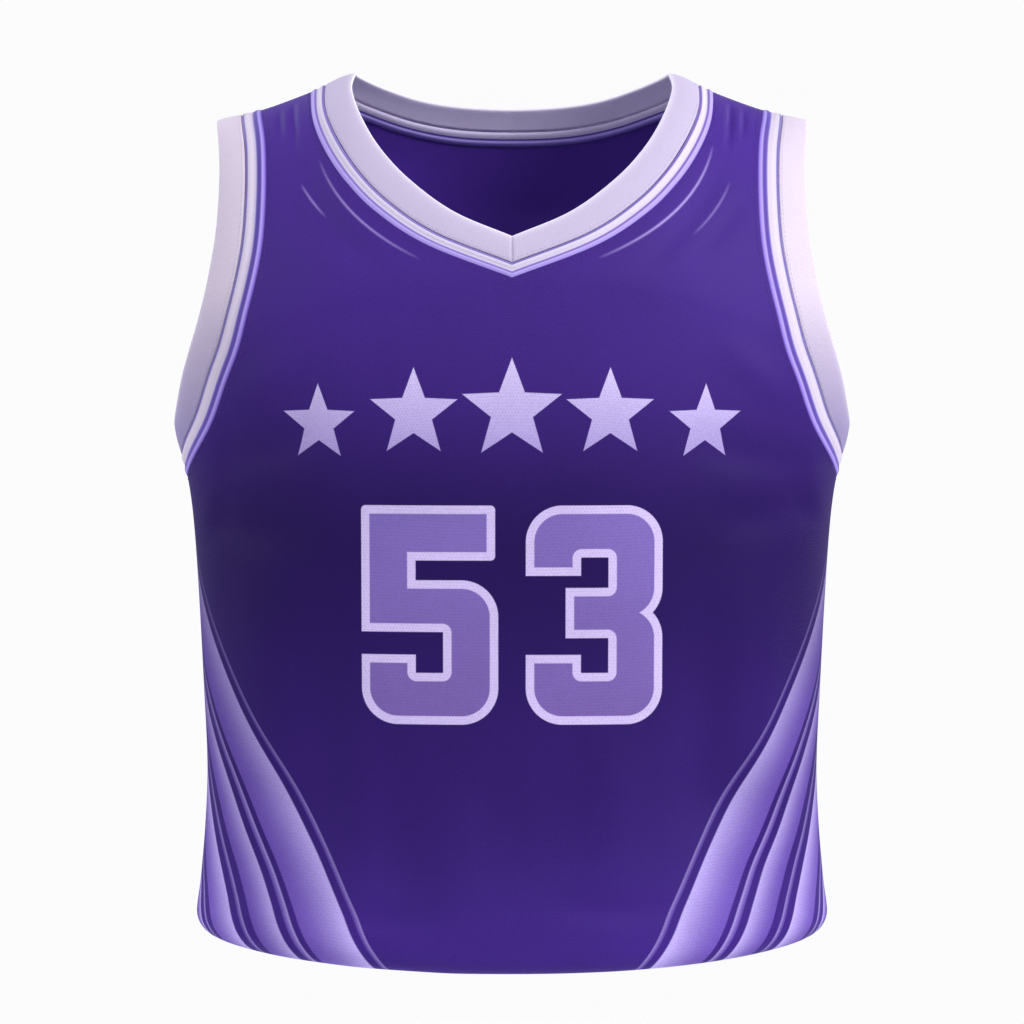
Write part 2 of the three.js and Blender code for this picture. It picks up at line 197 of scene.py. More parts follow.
# Where an edge bends on past its last row as its mirror image does, in degrees of turn
MIRROR_TURN: dict[tuple[Opening, Side], float | None] = {
    (Opening.NECK, Side.FRONT): None,
    (Opening.NECK, Side.BACK): 0.0,
    (Opening.ARMHOLE, Side.FRONT): 90.0,
    (Opening.ARMHOLE, Side.BACK): 90.0,
}


class SmoothTable:
    """A smooth curve through a short table of keys and values."""

    def __init__(self, keys: Sequence[float], values: Sequence[float]) -> None:
        """Keeps the table and works out the curve's slope at each row.

        Args:
            keys: the table's keys, rising.
            values: its value at each key.
        """
        self.keys = np.asarray(keys, dtype=float)
        self.values = np.asarray(values, dtype=float)
        rows = np.arange(len(self.keys))
        low = np.maximum(rows - 1, 0)
        high = np.minimum(rows + 1, len(rows) - 1)
        self.slopes = (self.values[high] - self.values[low]) / (self.keys[high] - self.keys[low])

    def at(self, key: np.ndarray) -> np.ndarray:
        """Reads the curve.

        Args:
            key: where to read it, held to the table's range.

        Returns:
            The value at each key.
        """
        held = np.clip(key, self.keys[0], self.keys[-1])
        row = np.clip(np.searchsorted(self.keys, held, side="left") - 1, 0, len(self.keys) - 2)
        span = self.keys[row + 1] - self.keys[row]
        f = (held - self.keys[row]) / span
        g = 1 - f
        start = g * g * ((1 + 2 * f) * self.values[row] + f * span * self.slopes[row])
        end = f * f * ((3 - 2 * f) * self.values[row + 1] - g * span * self.slopes[row + 1])
        return start + end


def smooth_step(low: float, high: float, value: np.ndarray) -> np.ndarray:
    """Rises softly from 0 at low to 1 at high."""
    f = np.clip((value - low) / (high - low), 0, 1)
    return f * f * (3 - 2 * f)


@dataclass(frozen=True)
class ClothPath:
    """A curve on one side of the jersey, in front view, that runs from start towards bend to end."""

    side: Side
    start: tuple[float, float]
    bend: tuple[float, float]
    end: tuple[float, float]

    def measure(self, across: np.ndarray, height: np.ndarray) -> Places:
        """Measures from the curve.

        Args:
            across: distance from the centre line, in front view.
            height: height of each point.

        Returns:
            The distance from the curve, above zero on its left, and how far along it that is, from 0 to 1.
        """
        t = np.linspace(0, 1, 15)[:, None]
        start, bend, end = (np.array(point) for point in (self.start, self.bend, self.end))
        path = (1 - t) ** 2 * start + 2 * t * (1 - t) * bend + t * t * end
        nearest = np.full(across.shape, 1.0)
        along = np.zeros(across.shape)
        for i, (a, b) in enumerate(zip(path[:-1], path[1:])):
            run = b - a
            x, z = across - a[0], height - a[1]
            f = np.clip((x * run[0] + z * run[1]) / run.dot(run), 0, 1)
            gap = np.hypot(x - f * run[0], z - f * run[1])
            closer = gap < np.abs(nearest)
            nearest = np.where(closer, np.where(run[0] * z > run[1] * x, gap, -gap), nearest)
            along = np.where(closer, (i + f) / (len(path) - 1), along)
        return nearest, along

    def mirrored(self, slide: float) -> "ClothPath":
        """The same curve on the other half, moved up by slide."""
        return ClothPath(self.side, *((-x, z + slide) for x, z in (self.start, self.bend, self.end)))


@dataclass(frozen=True)
class Crease:
    """A soft trough or ridge, placed one by one.

    Depth is how far it stands out, so a trough's is negative, and width is how far from its path it has
    mostly faded.
    """

    path: ClothPath
    width: float
    depth: float
    fade_start: float = 0.35

    def relief(self, across: np.ndarray, height: np.ndarray) -> np.ndarray:
        """Works out how far the crease moves the cloth outwards.

        Args:
            across: distance from the centre line, in front view.
            height: height of each point.

        Returns:
            Metres outwards at each point.
        """
        gap, along = self.path.measure(across, height)
        taper = smooth_step(0, self.fade_start, along) * smooth_step(0, 0.5, 1 - along)
        return self.depth * np.exp(-((gap / self.width) ** 2)) * taper


def creases(
    side: Side, start: Point, bend: Point, end: Point, width: float, depth: float,
    twin: float = 0.0, slide: float = 0.0, fade_start: float = 0.35,
) -> list[Crease]:
    """Gives a crease and, where it has one, its uneven twin on the other half.

    Args:
        side: the side of the jersey.
        start: where it starts, across and height.
        bend: the point that it bends towards.
        end: where it ends.
        width: how far from its path it has mostly faded.
        depth: how far it stands out.
        twin: the twin's depth as a share of its own, or 0 where it has none.
        slide: how much higher the twin lies.
        fade_start: the share of its length that it takes to reach its depth.

    Returns:
        One crease or two.
    """
    path = ClothPath(side, start, bend, end)
    made = [Crease(path, width, depth, fade_start)]
    if twin:
        made.append(Crease(path.mirrored(slide), width * (1.5 - twin / 2), depth * twin, fade_start))
    return made


F, B = Side.FRONT, Side.BACK
# Side; start, bend and end; width and depth; the twin's share of depth and slide; fade at the start
CREASE_ROWS: tuple[tuple, ...] = (
    # Hollows that follow the neckline, and two short sharp ones down each strap from the shoulder
    (F, (0.143, -0.050), (0.124, -0.114), (0.066, -0.141), 0.0090, -0.0020, 0.9, -0.004),
    (F, (0.156, -0.078), (0.140, -0.112), (0.108, -0.132), 0.0080, -0.0014, 0.7, 0.005),
    (F, (0.1475, -0.016), (0.1470, -0.036), (0.1425, -0.062), 0.0024, -0.0018, 0.8, 0.0, 0.1),
    (F, (0.1560, -0.020), (0.1565, -0.034), (0.1530, -0.050), 0.0022, -0.0012, 0.8, 0.0, 0.1),
    # Drag from the underarms towards the chest
    (F, (0.203, -0.262), (0.160, -0.262), (0.098, -0.238), 0.013, -0.0030, 0.8, 0.006, 0.2),
    (F, (0.207, -0.285), (0.170, -0.300), (0.120, -0.296), 0.014, -0.0034, 0.7, -0.010, 0.2),
    (F, (0.192, -0.226), (0.160, -0.205), (0.130, -0.170), 0.012, 0.0024, 0.7, -0.004),
    # Long soft folds that fall down the sides
    (F, (0.172, -0.300), (0.150, -0.420), (0.166, -0.540), 0.020, 0.0046, 0.7, 0.018),
    (F, (0.132, -0.330), (0.118, -0.450), (0.128, -0.575), 0.017, -0.0034, 0.8, -0.022),
    (F, (0.066, -0.420), (0.070, -0.500), (0.058, -0.580), 0.020, 0.0030),
    (F, (-0.034, -0.455), (-0.044, -0.520), (-0.040, -0.590), 0.019, 0.0026),
    (F, (-0.086, -0.400), (-0.074, -0.500), (-0.082, -0.580), 0.016, -0.0024),
    # Waist, where the cloth blouses over
    (F, (0.200, -0.470), (0.150, -0.492), (0.090, -0.484), 0.024, -0.0028, 0.6, 0.012, 0.5),
    (F, (0.203, -0.520), (0.168, -0.536), (0.112, -0.530), 0.018, -0.0022, 0.8, -0.005, 0.5),
    (F, (0.020, -0.548), (0.070, -0.560), (0.125, -0.552), 0.009, -0.0018),
    (F, (-0.120, -0.556), (-0.070, -0.566), (-0.010, -0.560), 0.009, -0.0020),
    # Back
    (B, (0.140, -0.038), (0.100, -0.066), (0.040, -0.076), 0.0085, -0.0018, 0.8, -0.004),
    (B, (0.150, -0.060), (0.120, -0.094), (0.070, -0.112), 0.012, 0.0016, 0.8, 0.006),
    (B, (0.204, -0.262), (0.168, -0.252), (0.110, -0.214), 0.013, -0.0030, 0.8, -0.008, 0.2),
    (B, (0.206, -0.290), (0.172, -0.302), (0.120, -0.292), 0.014, -0.0030, 0.7, 0.008, 0.2),
    (B, (0.176, -0.215), (0.162, -0.330), (0.172, -0.450), 0.014, 0.0040, 0.8, 0.020),
    (B, (0.132, -0.300), (0.116, -0.430), (0.130, -0.570), 0.018, -0.0038, 0.7, -0.016),
    (B, (0.060, -0.380), (0.052, -0.480), (0.064, -0.575), 0.019, 0.0034),
    (B, (-0.020, -0.410), (-0.030, -0.500), (-0.022, -0.580), 0.017, -0.0028),
    (B, (-0.078, -0.370), (-0.092, -0.470), (-0.080, -0.580), 0.018, 0.0032),
    (B, (0.198, -0.455), (0.130, -0.476), (0.050, -0.462), 0.024, -0.0030, 0.7, -0.014, 0.5),
    (B, (0.202, -0.512), (0.150, -0.530), (0.080, -0.520), 0.018, -0.0024, 0.8, 0.008, 0.5),
    (B, (-0.060, -0.552), (0.000, -0.562), (0.070, -0.554), 0.009, -0.0020),
)
CREASES: tuple[Crease, ...] = tuple(crease for row in CREASE_ROWS for crease in creases(*row))


@dataclass(frozen=True)
class FineFold:
    """A sharp little fold, too fine for the cloth's mesh, whose bump and painted highlight follow its
    strength.
    """

    path: ClothPath
    strength: float


FINE_FOLDS: tuple[FineFold, ...] = (
    FineFold(ClothPath(F, (0.1330, -0.052), (0.1210, -0.101), (0.0560, -0.1275)), 1.0),
    FineFold(ClothPath(F, (-0.1270, -0.062), (-0.1120, -0.103), (-0.0600, -0.1280)), 0.7),
    FineFold(ClothPath(F, (0.1440, -0.076), (0.1360, -0.096), (0.1180, -0.1120)), 0.4),
    FineFold(ClothPath(F, (-0.1390, -0.078), (-0.1320, -0.090), (-0.1220, -0.1000)), 0.6),
    FineFold(ClothPath(B, (0.0980, -0.040), (0.0520, -0.060), (0.0060, -0.0610)), 0.5),
    FineFold(ClothPath(B, (-0.0900, -0.046), (-0.0560, -0.060), (-0.0140, -0.0620)), 0.35),
)


class JerseyForm:
    """The middle surface of the filled-out cloth.

    A place on it has a side sign, a turn from 0 at the centre to 90 degrees at the side seam, and a height.
    """

    SHOULDER_RUN = {Side.FRONT: 0.150, Side.BACK: 0.100}
    HEM_DIP = {Side.FRONT: 0.012, Side.BACK: 0.005}

    def __init__(self) -> None:
        """Reads the tables of sections and of the shoulder line."""
        heights = [row.height for row in BODY_SECTIONS]
        self.half_width = SmoothTable(heights, [row.half_width for row in BODY_SECTIONS])
        self.front_depth = SmoothTable(heights, [row.front for row in BODY_SECTIONS])
        self.back_depth = SmoothTable(heights, [row.back for row in BODY_SECTIONS])
        self.shoulder_line = SmoothTable(*zip(*SHOULDER_LINE))

    def across(self, turn: np.ndarray, height: np.ndarray) -> np.ndarray:
        """Distance from the centre line, in front view."""
        return self.half_width.at(height) * np.sin(np.radians(turn))

    def drop(self, turn: np.ndarray, height: np.ndarray) -> np.ndarray:
        """How far a place lies below the shoulder line."""
        return self.shoulder_line.at(np.abs(self.across(turn, height))) - height

    def point(self, side: np.ndarray, turn: np.ndarray, height: np.ndarray) -> np.ndarray:
        """Finds points on the surface, which carries on past a side seam or the shoulder line.

        Args:
            side: -1 in front and 1 behind.
            turn: degrees from the centre line.
            height: height above the neck points.

        Returns:
            An array of points.
        """
        side, turn, height = np.broadcast_arrays(np.asarray(side, float), turn, height)
        beyond = np.abs(turn) > 90
        side = np.where(beyond, -side, side)
        turn = np.where(beyond, np.sign(turn) * 180 - turn, turn)
        over = self.drop(turn, height)
        side = np.where(over < 0, -side, side)
        height = np.where(over < 0, height + 2 * over, height)
        drop = np.maximum(self.drop(turn, height), 0)
        roundness = np.sqrt(np.maximum(1 - np.abs(np.sin(np.radians(turn))) ** SECTION_SQUARENESS, 0))
        depth = np.where(side < 0, self.front_depth.at(height), self.back_depth.at(height))
        run = np.where(side < 0, self.SHOULDER_RUN[Side.FRONT], self.SHOULDER_RUN[Side.BACK])
        left = 1 - np.minimum(drop / run, 1)
        fall = (1 - left**SHOULDER_FALL) ** (1 / SHOULDER_ROUNDNESS)
        return np.stack([self.across(turn, height), side * depth * roundness * fall, height], axis=-1)

    def normal(self, side: np.ndarray, turn: np.ndarray, height: np.ndarray) -> np.ndarray:
        """Finds the outward direction at places on the surface.

        Args:
            side: -1 in front and 1 behind.
            turn: degrees from the centre line.
            height: height above the neck points.

        Returns:
            An array of unit vectors.
        """
        turn_step, height_step = 0.4, 0.0008
        along = self.point(side, turn + turn_step, height) - self.point(side, turn - turn_step, height)
        down = self.point(side, turn, height - height_step) - self.point(side, turn, height + height_step)
        outward = np.cross(along, down) * np.asarray(side, float)[..., None]
        return outward / np.linalg.norm(outward, axis=-1, keepdims=True)

    def relief(self, side: np.ndarray, across: np.ndarray, height: np.ndarray) -> np.ndarray:
        """Adds up the creases of each side. They fade out towards the side and shoulder seams.

        Args:
            side: -1 in front and 1 behind.
            across: distance from the centre line.
            height: height above the neck points.

        Returns:
            Metres outwards at each place.
        """
        total = np.zeros(across.shape)
        for sign, crease_side in ((-1, Side.FRONT), (1, Side.BACK)):
            part = sum(c.relief(across, height) for c in CREASES if c.path.side is crease_side)
            total = np.where(side == sign, part, total)
        edge = 1 - np.abs(across) / self.half_width.at(height)
        drop = self.shoulder_line.at(np.abs(across)) - height
        return total * smooth_step(0, 0.025, edge) * smooth_step(0.002, 0.016, drop)

    def hem_top(self, side: Side, turn: np.ndarray) -> np.ndarray:
        """Height where the hem starts to roll under."""
        return HEM_SIDE_HEIGHT + HEM_ROLL_DOWN - self.HEM_DIP[side] * np.cos(np.radians(turn)) ** 2

    def between(
        self, start: Places, end: Places, share: np.ndarray
    ) -> Places:
        """Finds the places a share of the way between two others on the same side.

        Args:
            start: turn and height where share is 0.
            end: turn and height where share is 1.
            share: how far to go.

        Returns:
            The turn and height of each place.
        """
        turn = start[0] + (end[0] - start[0]) * share
        roots = [np.maximum(self.drop(*place), 0) ** (1 / SHOULDER_ROUNDNESS) for place in (start, end)]
        root = np.maximum(roots[0] + (roots[1] - roots[0]) * share, 0)
        height = start[1] + (end[1] - start[1]) * share
        for _ in range(5):
            height = self.shoulder_line.at(np.abs(self.across(turn, height))) - root**SHOULDER_ROUNDNESS
        return turn, height


FORM = JerseyForm()


class Edging:
    """The strip between the seam on a panel and the free edge of an opening, on one side of the jersey."""

    def __init__(self, opening: Opening, side: Side) -> None:
        """Makes the seam and the free edge into curves of turn and height.

        Args:
            opening: the opening that it edges.
            side: the front or the back half of it.
        """
        self.opening = opening
        self.side = side
        rows = EDGE_ROWS[opening, side]
        self.last = len(rows) - 1
        self.seam = self._curve([(row.seam_across, row.seam_height) for row in rows])
        self.free = self._curve([(row.free_across, row.free_height) for row in rows])

    def _curve(self, rows: Sequence[tuple[float, float]]) -> tuple[SmoothTable, SmoothTable]:
        """Makes one edge's rows into a curve of turn and a curve of height.

        Args:
            rows: the edge's places in front view, across and height.

        Returns:
            The curves of turn and of height.
        """
        across, height = (np.array(column) for column in zip(*rows))
        height = np.minimum(height, FORM.shoulder_line.at(across))
        turn = np.degrees(np.arcsin(np.minimum(across / FORM.half_width.at(height), 1)))
        mirror = MIRROR_TURN[self.opening, self.side]
        if mirror is not None:
            turn[-1] = mirror
            turn = np.append(turn, 2 * mirror - turn[-2])
            height = np.append(height, height[-2])
        keys = np.arange(len(turn))
        return SmoothTable(keys, turn), SmoothTable(keys, height)

    def edge(self, curve: tuple[SmoothTable, SmoothTable], share: np.ndarray) -> Places:
        """Finds the places at shares of the way from the shoulder to the centre or the underarm.

        Args:
            curve: the seam or the free edge.
            share: how far along it, from the shoulder.

        Returns:
            The turn and height of each place.
        """
        turn, height = (table.at(np.asarray(share) * self.last) for table in curve)
        top = FORM.shoulder_line.at(np.abs(FORM.across(turn, height)))
        return turn, np.minimum(height, top)

    def width(self, share: np.ndarray) -> np.ndarray:
        """How wide the strip is, from seam to free edge.

        Args:
            share: how far along it, from the shoulder.

        Returns:
            The width there, in metres.
        """
        seam = FORM.point(self.side.value, *self.edge(self.seam, share))
        free = FORM.point(self.side.value, *self.edge(self.free, share))
        return np.linalg.norm(seam - free, axis=-1)

    def at(self, share: np.ndarray, part: np.ndarray, past: np.ndarray) -> Places:
        """Finds places on the strip.

        Args:
            share: how far along it, from the shoulder.
            part: how far across it, from the seam on the panel.
            past: metres further across.

        Returns:
            The turn and height of each place.
        """
        share, part, past = np.broadcast_arrays(share, part, past)
        across = part + past / self.width(share)
        return FORM.between(self.edge(self.seam, share), self.edge(self.free, share), across)

    def even_shares(self, start: float, end: float, count: int) -> np.ndarray:
        """Shares that lie evenly far apart along the seam.

        Args:
            start: the first share.
            end: the last share.
            count: how many steps.

        Returns:
            The shares, one more than the steps.
        """
        fine = np.linspace(start, end, 600)
        points = FORM.point(self.side.value, *self.edge(self.seam, fine))
        steps = np.linalg.norm(np.diff(points, axis=0), axis=1)
        lengths = np.concatenate([[0], np.cumsum(steps)])
        return np.interp(np.linspace(0, lengths[-1], count + 1), lengths, fine)


EDGINGS = {(opening, side): Edging(opening, side) for opening in Opening for side in Side}


def mesh_object(bm: bmesh.types.BMesh, name: str, materials: Sequence[Material]) -> Piece:
    """Makes a finished bmesh into an object of the scene.

    Args:
        bm: the mesh, freed here.
        name: the object's name.
        materials: its materials, in the order of its faces' indices.

    Returns:
        The new object, which rides on the body.
    """
    mesh = bpy.data.meshes.new(name)
    bm.to_mesh(mesh)
    bm.free()
    for material in materials:
        mesh.materials.append(material)
    mesh.shade_smooth()
    piece = bpy.data.objects.new(name, mesh)
    bpy.context.scene.collection.objects.link(piece)
    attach(piece, BODY)
    return piece


def grid_onto(bm: bmesh.types.BMesh, points: np.ndarray, marks: dict[str, np.ndarray]) -> None:
    """Adds a grid to a bmesh and lays it onto an array of points.

    Args:
        bm: the bmesh that it is added to.
        points: rows and columns of points.
        marks: values for each point, kept as float layers under these names.
    """
    rows, columns = points.shape[:2]
    made = bmesh.ops.create_grid(bm, x_segments=columns - 1, y_segments=rows - 1, size=1.0)
    layers = {name: bm.verts.layers.float.get(name) or bm.verts.layers.float.new(name) for name in marks}
    if marks:
        bm.verts.ensure_lookup_table()
        made = {"verts": bm.verts[-rows * columns:]}
    for vert in made["verts"]:
        column = round((vert.co.x + 1) / 2 * (columns - 1))
        row = round((vert.co.y + 1) / 2 * (rows - 1))
        vert.co = Vector(points[row, column])
        for name, layer in layers.items():
            vert[layer] = marks[name][row, column]


@dataclass(frozen=True)
class PrintBox:
    """An upright rectangle with rounded corners: left, low, right, high and the corners' radius."""

    left: float
    low: float
    right: float
    high: float
    radius: float = 0.003


@dataclass(frozen=True)
class DigitShape:
    """A digit whose lower left corner is at the origin: strokes, and bowls less their counters."""

    strokes: tuple[PrintBox, ...]
    bowls: tuple[PrintBox, ...]
    counters: tuple[PrintBox, ...]


DIGIT_WIDTH, DIGIT_HEIGHT = 0.090, 0.144
DIGITS: dict[str, DigitShape] = {
    "5": DigitShape(
        strokes=(
            PrintBox(0, 0.108, 0.088, 0.144), PrintBox(0, 0.061, 0.036, 0.144),
            PrintBox(0, 0.061, 0.060, 0.095),
        ),
        bowls=(PrintBox(0, 0, 0.090, 0.095, 0.024),),
        counters=(
            PrintBox(-0.05, 0.046, 0.054, 0.061, 0.0005), PrintBox(0.036, 0.034, 0.054, 0.061, 0.0005),
        ),
    ),
    "3": DigitShape(
        strokes=(),
        bowls=(PrintBox(0, 0.066, 0.090, 0.144, 0.024), PrintBox(0, 0, 0.090, 0.081, 0.024)),
        counters=(
            PrintBox(-0.05, 0.046, 0.026, 0.098, 0.0005), PrintBox(-0.05, 0.090, 0.054, 0.098, 0.0005),
            PrintBox(0.036, 0.090, 0.054, 0.110, 0.0005), PrintBox(-0.05, 0.046, 0.054, 0.057, 0.0005),
            PrintBox(0.036, 0.034, 0.054, 0.057, 0.0005),
        ),
    ),
}


@dataclass(frozen=True)
class PrintedNumber:
    """A plain number printed on a panel, with where its middle lies and how big it is."""

    text: str
    middle_height: float
    digit_height: float
    digit_gap: float
    rim: float = 0.0055


@dataclass(frozen=True)
class StarRow:
    """A row of plain five-pointed stars, the middle one the largest."""

    middle_height: float
    pitch: float
    radius: float
    shrink: float
    arch: float
    count: int = 5

    def stars(self) -> list[tuple[float, float, float]]:
        """Where each star's middle lies, and its radius.

        Returns:
            Across, height and radius of each star.
        """
        half = self.count // 2
        return [
            (i * self.pitch, self.middle_height - self.arch * i * i, self.radius - self.shrink * abs(i))
            for i in range(-half, half + 1)
        ]


@dataclass(frozen=True)
class SideBar:
    """A printed straight bar that slants down from a side seam, one leg of a chevron over the seam."""

    seam_height: float
    half_width: float
    strength: float


@dataclass(frozen=True)
class PanelPrint:
    """What is printed on one panel."""

    number: PrintedNumber
    stars: StarRow
    bars: tuple[SideBar, ...]


@dataclass(frozen=True)
class NodeMaker:
    """Adds nodes to a material's or a group's tree and joins them."""

    tree: bpy.types.NodeTree

    def add(
        self, kind: str, inputs: dict[int | str, object] | None = None, **settings: object
    ) -> bpy.types.Node:
        """Adds a node.

        Args:
            kind: Blender's name for the node's type.
            inputs: a value or another node's output for some of its inputs.
            settings: the node's own settings.

        Returns:
            The new node.
        """
        node = self.tree.nodes.new(kind)
        for setting, value in settings.items():
            setattr(node, setting, value)
        self.give(node, inputs or {})
        return node

    def give(self, node: bpy.types.Node, inputs: dict[int | str, object]) -> None:
        """Gives some of a node's inputs a value or another node's output.

        Args:
            node: the node.
            inputs: what each named or numbered input gets.
        """
        for key, value in inputs.items():
            if isinstance(value, Socket):
                self.tree.links.new(value, node.inputs[key])
            else:
                node.inputs[key].default_value = value

    def math(self, operation: str, *values: object, clamp: bool = False) -> Socket:
        """Adds a math node and returns its output."""
        node = self.add("ShaderNodeMath", dict(enumerate(values)), operation=operation, use_clamp=clamp)
        return node.outputs[0]

    def mix(self, share: object, first: object, second: object) -> Socket:
        """Adds a colour mix and returns its output."""
        inputs = {0: share, 6: first, 7: second}
        return self.add("ShaderNodeMix", inputs, data_type="RGBA").outputs[2]

    def ramp(
        self, share: Socket, stops: Sequence[tuple[float, Colour]], blend: str
    ) -> Socket:
        """Adds a colour ramp with these stops, blended as named, and returns its colour.

        Args:
            share: the value that picks the colour.
            stops: the place and colour of each stop.
            blend: Blender's name for the blending.

        Returns:
            The ramp's colour.
        """
        node = self.add("ShaderNodeValToRGB", {0: share})
        node.color_ramp.interpolation = blend
        elements = node.color_ramp.elements
        while len(elements) < len(stops):
            elements.new(0.5)
        for element, (place, colour) in zip(elements, stops):
            element.position = place
            element.color = colour
        return node.outputs[0]

    def group(self, tree: bpy.types.NodeTree, inputs: dict[str, object]) -> bpy.types.Node:
        """Places a node group with its values."""
        return self.add("ShaderNodeGroup", inputs, node_tree=tree)

    def vector(self, operation: str, *values: object) -> Socket:
        """Adds a vector math node and returns its vector."""
        return self.add("ShaderNodeVectorMath", dict(enumerate(values)), operation=operation).outputs[0]

    def nearest(self, distances: Sequence[Socket]) -> Socket:
        """Joins distances to several forms into the distance to all of them.

        Args:
            distances: the distance to each form, below zero inside it.

        Returns:
            The least of them.
        """
        result = distances[0]
        for distance in distances[1:]:
            result = self.math("MINIMUM", result, distance)
        return result

    def attribute(self, name: str) -> Socket:
        """Reads one of the piece's own values."""
        return self.add("ShaderNodeAttribute", attribute_name=name).outputs["Fac"]

    def place(self) -> Socket:
        """Where a point lies on the jersey."""
        return self.add("ShaderNodeTexCoord").outputs["Object"]

    def cloth(self) -> Socket:
        """Where a point lies along the cloth, in metres."""
        return self.add("ShaderNodeUVMap", uv_map="cloth").outputs[0]

    def part(self, vector: Socket, axis: str) -> Socket:
        """One part of a vector: X, Y or Z."""
        return self.add("ShaderNodeSeparateXYZ", {0: vector}).outputs[axis]

    def spread(
        self, value: Socket, low: float, high: float, to_low: float = 0.0, to_high: float = 1.0
    ) -> Socket:
        """Spreads the values from low to high over another range."""
        inputs = {0: value, 1: low, 2: high, 3: to_low, 4: to_high}
        return self.add("ShaderNodeMapRange", inputs).outputs[0]


def new_group(name: str, inputs: dict[str, float | None], outputs: Sequence[str]) -> tuple[
    NodeMaker, dict[str, Socket], bpy.types.Node
]:
    """Starts a shader node group.

    Args:
        name: the group's name.
        inputs: the first value of each named input, or None where it takes a vector.
        outputs: the name of each output, all of them values.

    Returns:
        A maker for the group's nodes, its inputs by name, and its output node.
    """
    tree = bpy.data.node_groups.new(name, "ShaderNodeTree")
    for label, value in inputs.items():
        kind = "NodeSocketVector" if value is None else "NodeSocketFloat"
        socket = tree.interface.new_socket(name=label, in_out="INPUT", socket_type=kind)
        if value is not None:
            socket.default_value = value
    for label in outputs:
        tree.interface.new_socket(name=label, in_out="OUTPUT", socket_type="NodeSocketFloat")
    maker = NodeMaker(tree)
    start = maker.add("NodeGroupInput")
    return maker, {label: start.outputs[label] for label in inputs}, maker.add("NodeGroupOutput")


def knit_loops_group() -> bpy.types.NodeTree:
    """Columns of small V-shaped loops: a height for the bump of knit cloth.

    Returns:
        The node group.
    """
    sizes = {"Vector": None, "Wale": 0.001, "Course": 0.001}
    maker, given, result = new_group("knit_loops", sizes, ["Height"])
    split = maker.add("ShaderNodeSeparateXYZ", {0: given["Vector"]})
    column = maker.math("DIVIDE", split.outputs["X"], given["Wale"])
    row = maker.math("DIVIDE", split.outputs["Y"], given["Course"])
    inside = maker.math("ABSOLUTE", maker.math("SUBTRACT", maker.math("FRACT", column), 0.5))
    slanted = maker.math("MULTIPLY_ADD", inside, 1.3, row)
    wave = maker.math("COSINE", maker.math("MULTIPLY", slanted, math.tau))
    loop = maker.math("MULTIPLY_ADD", wave, 0.5, 0.5)
    leg = maker.math("SINE", maker.math("MULTIPLY", inside, math.tau))
    height = maker.math("MULTIPLY", maker.math("MULTIPLY_ADD", loop, 0.6, 0.4), leg)
    maker.give(result, {"Height": height})
    return maker.tree


def pin_mesh_group() -> bpy.types.NodeTree:
    """Small round dimples in staggered rows: a height for the bump of sports mesh.

    Returns:
        The node group.
    """
    maker, given, result = new_group("pin_mesh", {"Vector": None, "Pitch": 0.002, "Size": 0.3}, ["Height"])
    split = maker.add("ShaderNodeSeparateXYZ", {0: given["Vector"]})
    column = maker.math("DIVIDE", split.outputs["X"], given["Pitch"])
    row = maker.math("DIVIDE", split.outputs["Y"], given["Pitch"])
    odd = maker.math("MULTIPLY", maker.math("MODULO", maker.math("FLOOR", row), 2.0), 0.5)
    x = maker.math("SUBTRACT", maker.math("FRACT", maker.math("ADD", column, odd)), 0.5)
    y = maker.math("SUBTRACT", maker.math("FRACT", row), 0.5)
    gap = maker.math("SQRT", maker.math("ADD", maker.math("MULTIPLY", x, x), maker.math("MULTIPLY", y, y)))
    ramp = maker.add(
        "ShaderNodeMapRange",
        {0: gap, 1: 0.08, 2: given["Size"], 3: 0.0, 4: 1.0},
        interpolation_type="SMOOTHSTEP",
    )
    maker.give(result, {"Height": ramp.outputs[0]})
    return maker.tree


def mottle_group() -> bpy.types.NodeTree:
    """Fine and broad unevenness of dyed cloth, about 1 on average.

    Returns:
        The node group.
    """
    sizes = {"Vector": None, "Amount": 0.1, "Grain": 900.0}
    maker, given, result = new_group("cloth_mottle", sizes, ["Tone"])
    broad = maker.add("ShaderNodeTexNoise", {"Vector": given["Vector"], "Scale": 14.0, "Detail": 2.0})
    fine = maker.add(
        "ShaderNodeTexNoise",
        {"Vector": given["Vector"], "Scale": given["Grain"], "Detail": 1.0},
    )
    both = maker.math("SUBTRACT", maker.math("ADD", broad.outputs[0], fine.outputs[0]), 1.0)
    tone = maker.math("MULTIPLY_ADD", both, given["Amount"], 1.0)
    maker.give(result, {"Tone": tone})
    return maker.tree


def print_box_group() -> bpy.types.NodeTree:
    """Distance to an upright rectangle with rounded corners, below zero inside it.

    Returns:
        The node group.
    """
    sizes = {"Vector": None, "Middle": None, "Core": None, "Radius": 0.003}
    maker, given, result = new_group("print_box", sizes, ["Distance"])
    away = maker.vector("ABSOLUTE", maker.vector("SUBTRACT", given["Vector"], given["Middle"]))
    past = maker.vector("SUBTRACT", away, given["Core"])
    outside = maker.vector("MAXIMUM", past, (0.0, 0.0, 0.0))
    length = maker.add("ShaderNodeVectorMath", {0: outside}, operation="LENGTH").outputs["Value"]
    split = maker.add("ShaderNodeSeparateXYZ", {0: past})
    inside = maker.math("MINIMUM", maker.math("MAXIMUM", split.outputs["X"], split.outputs["Y"]), 0.0)
    distance = maker.math("SUBTRACT", maker.math("ADD", length, inside), given["Radius"])
    maker.give(result, {"Distance": distance})
    return maker.tree


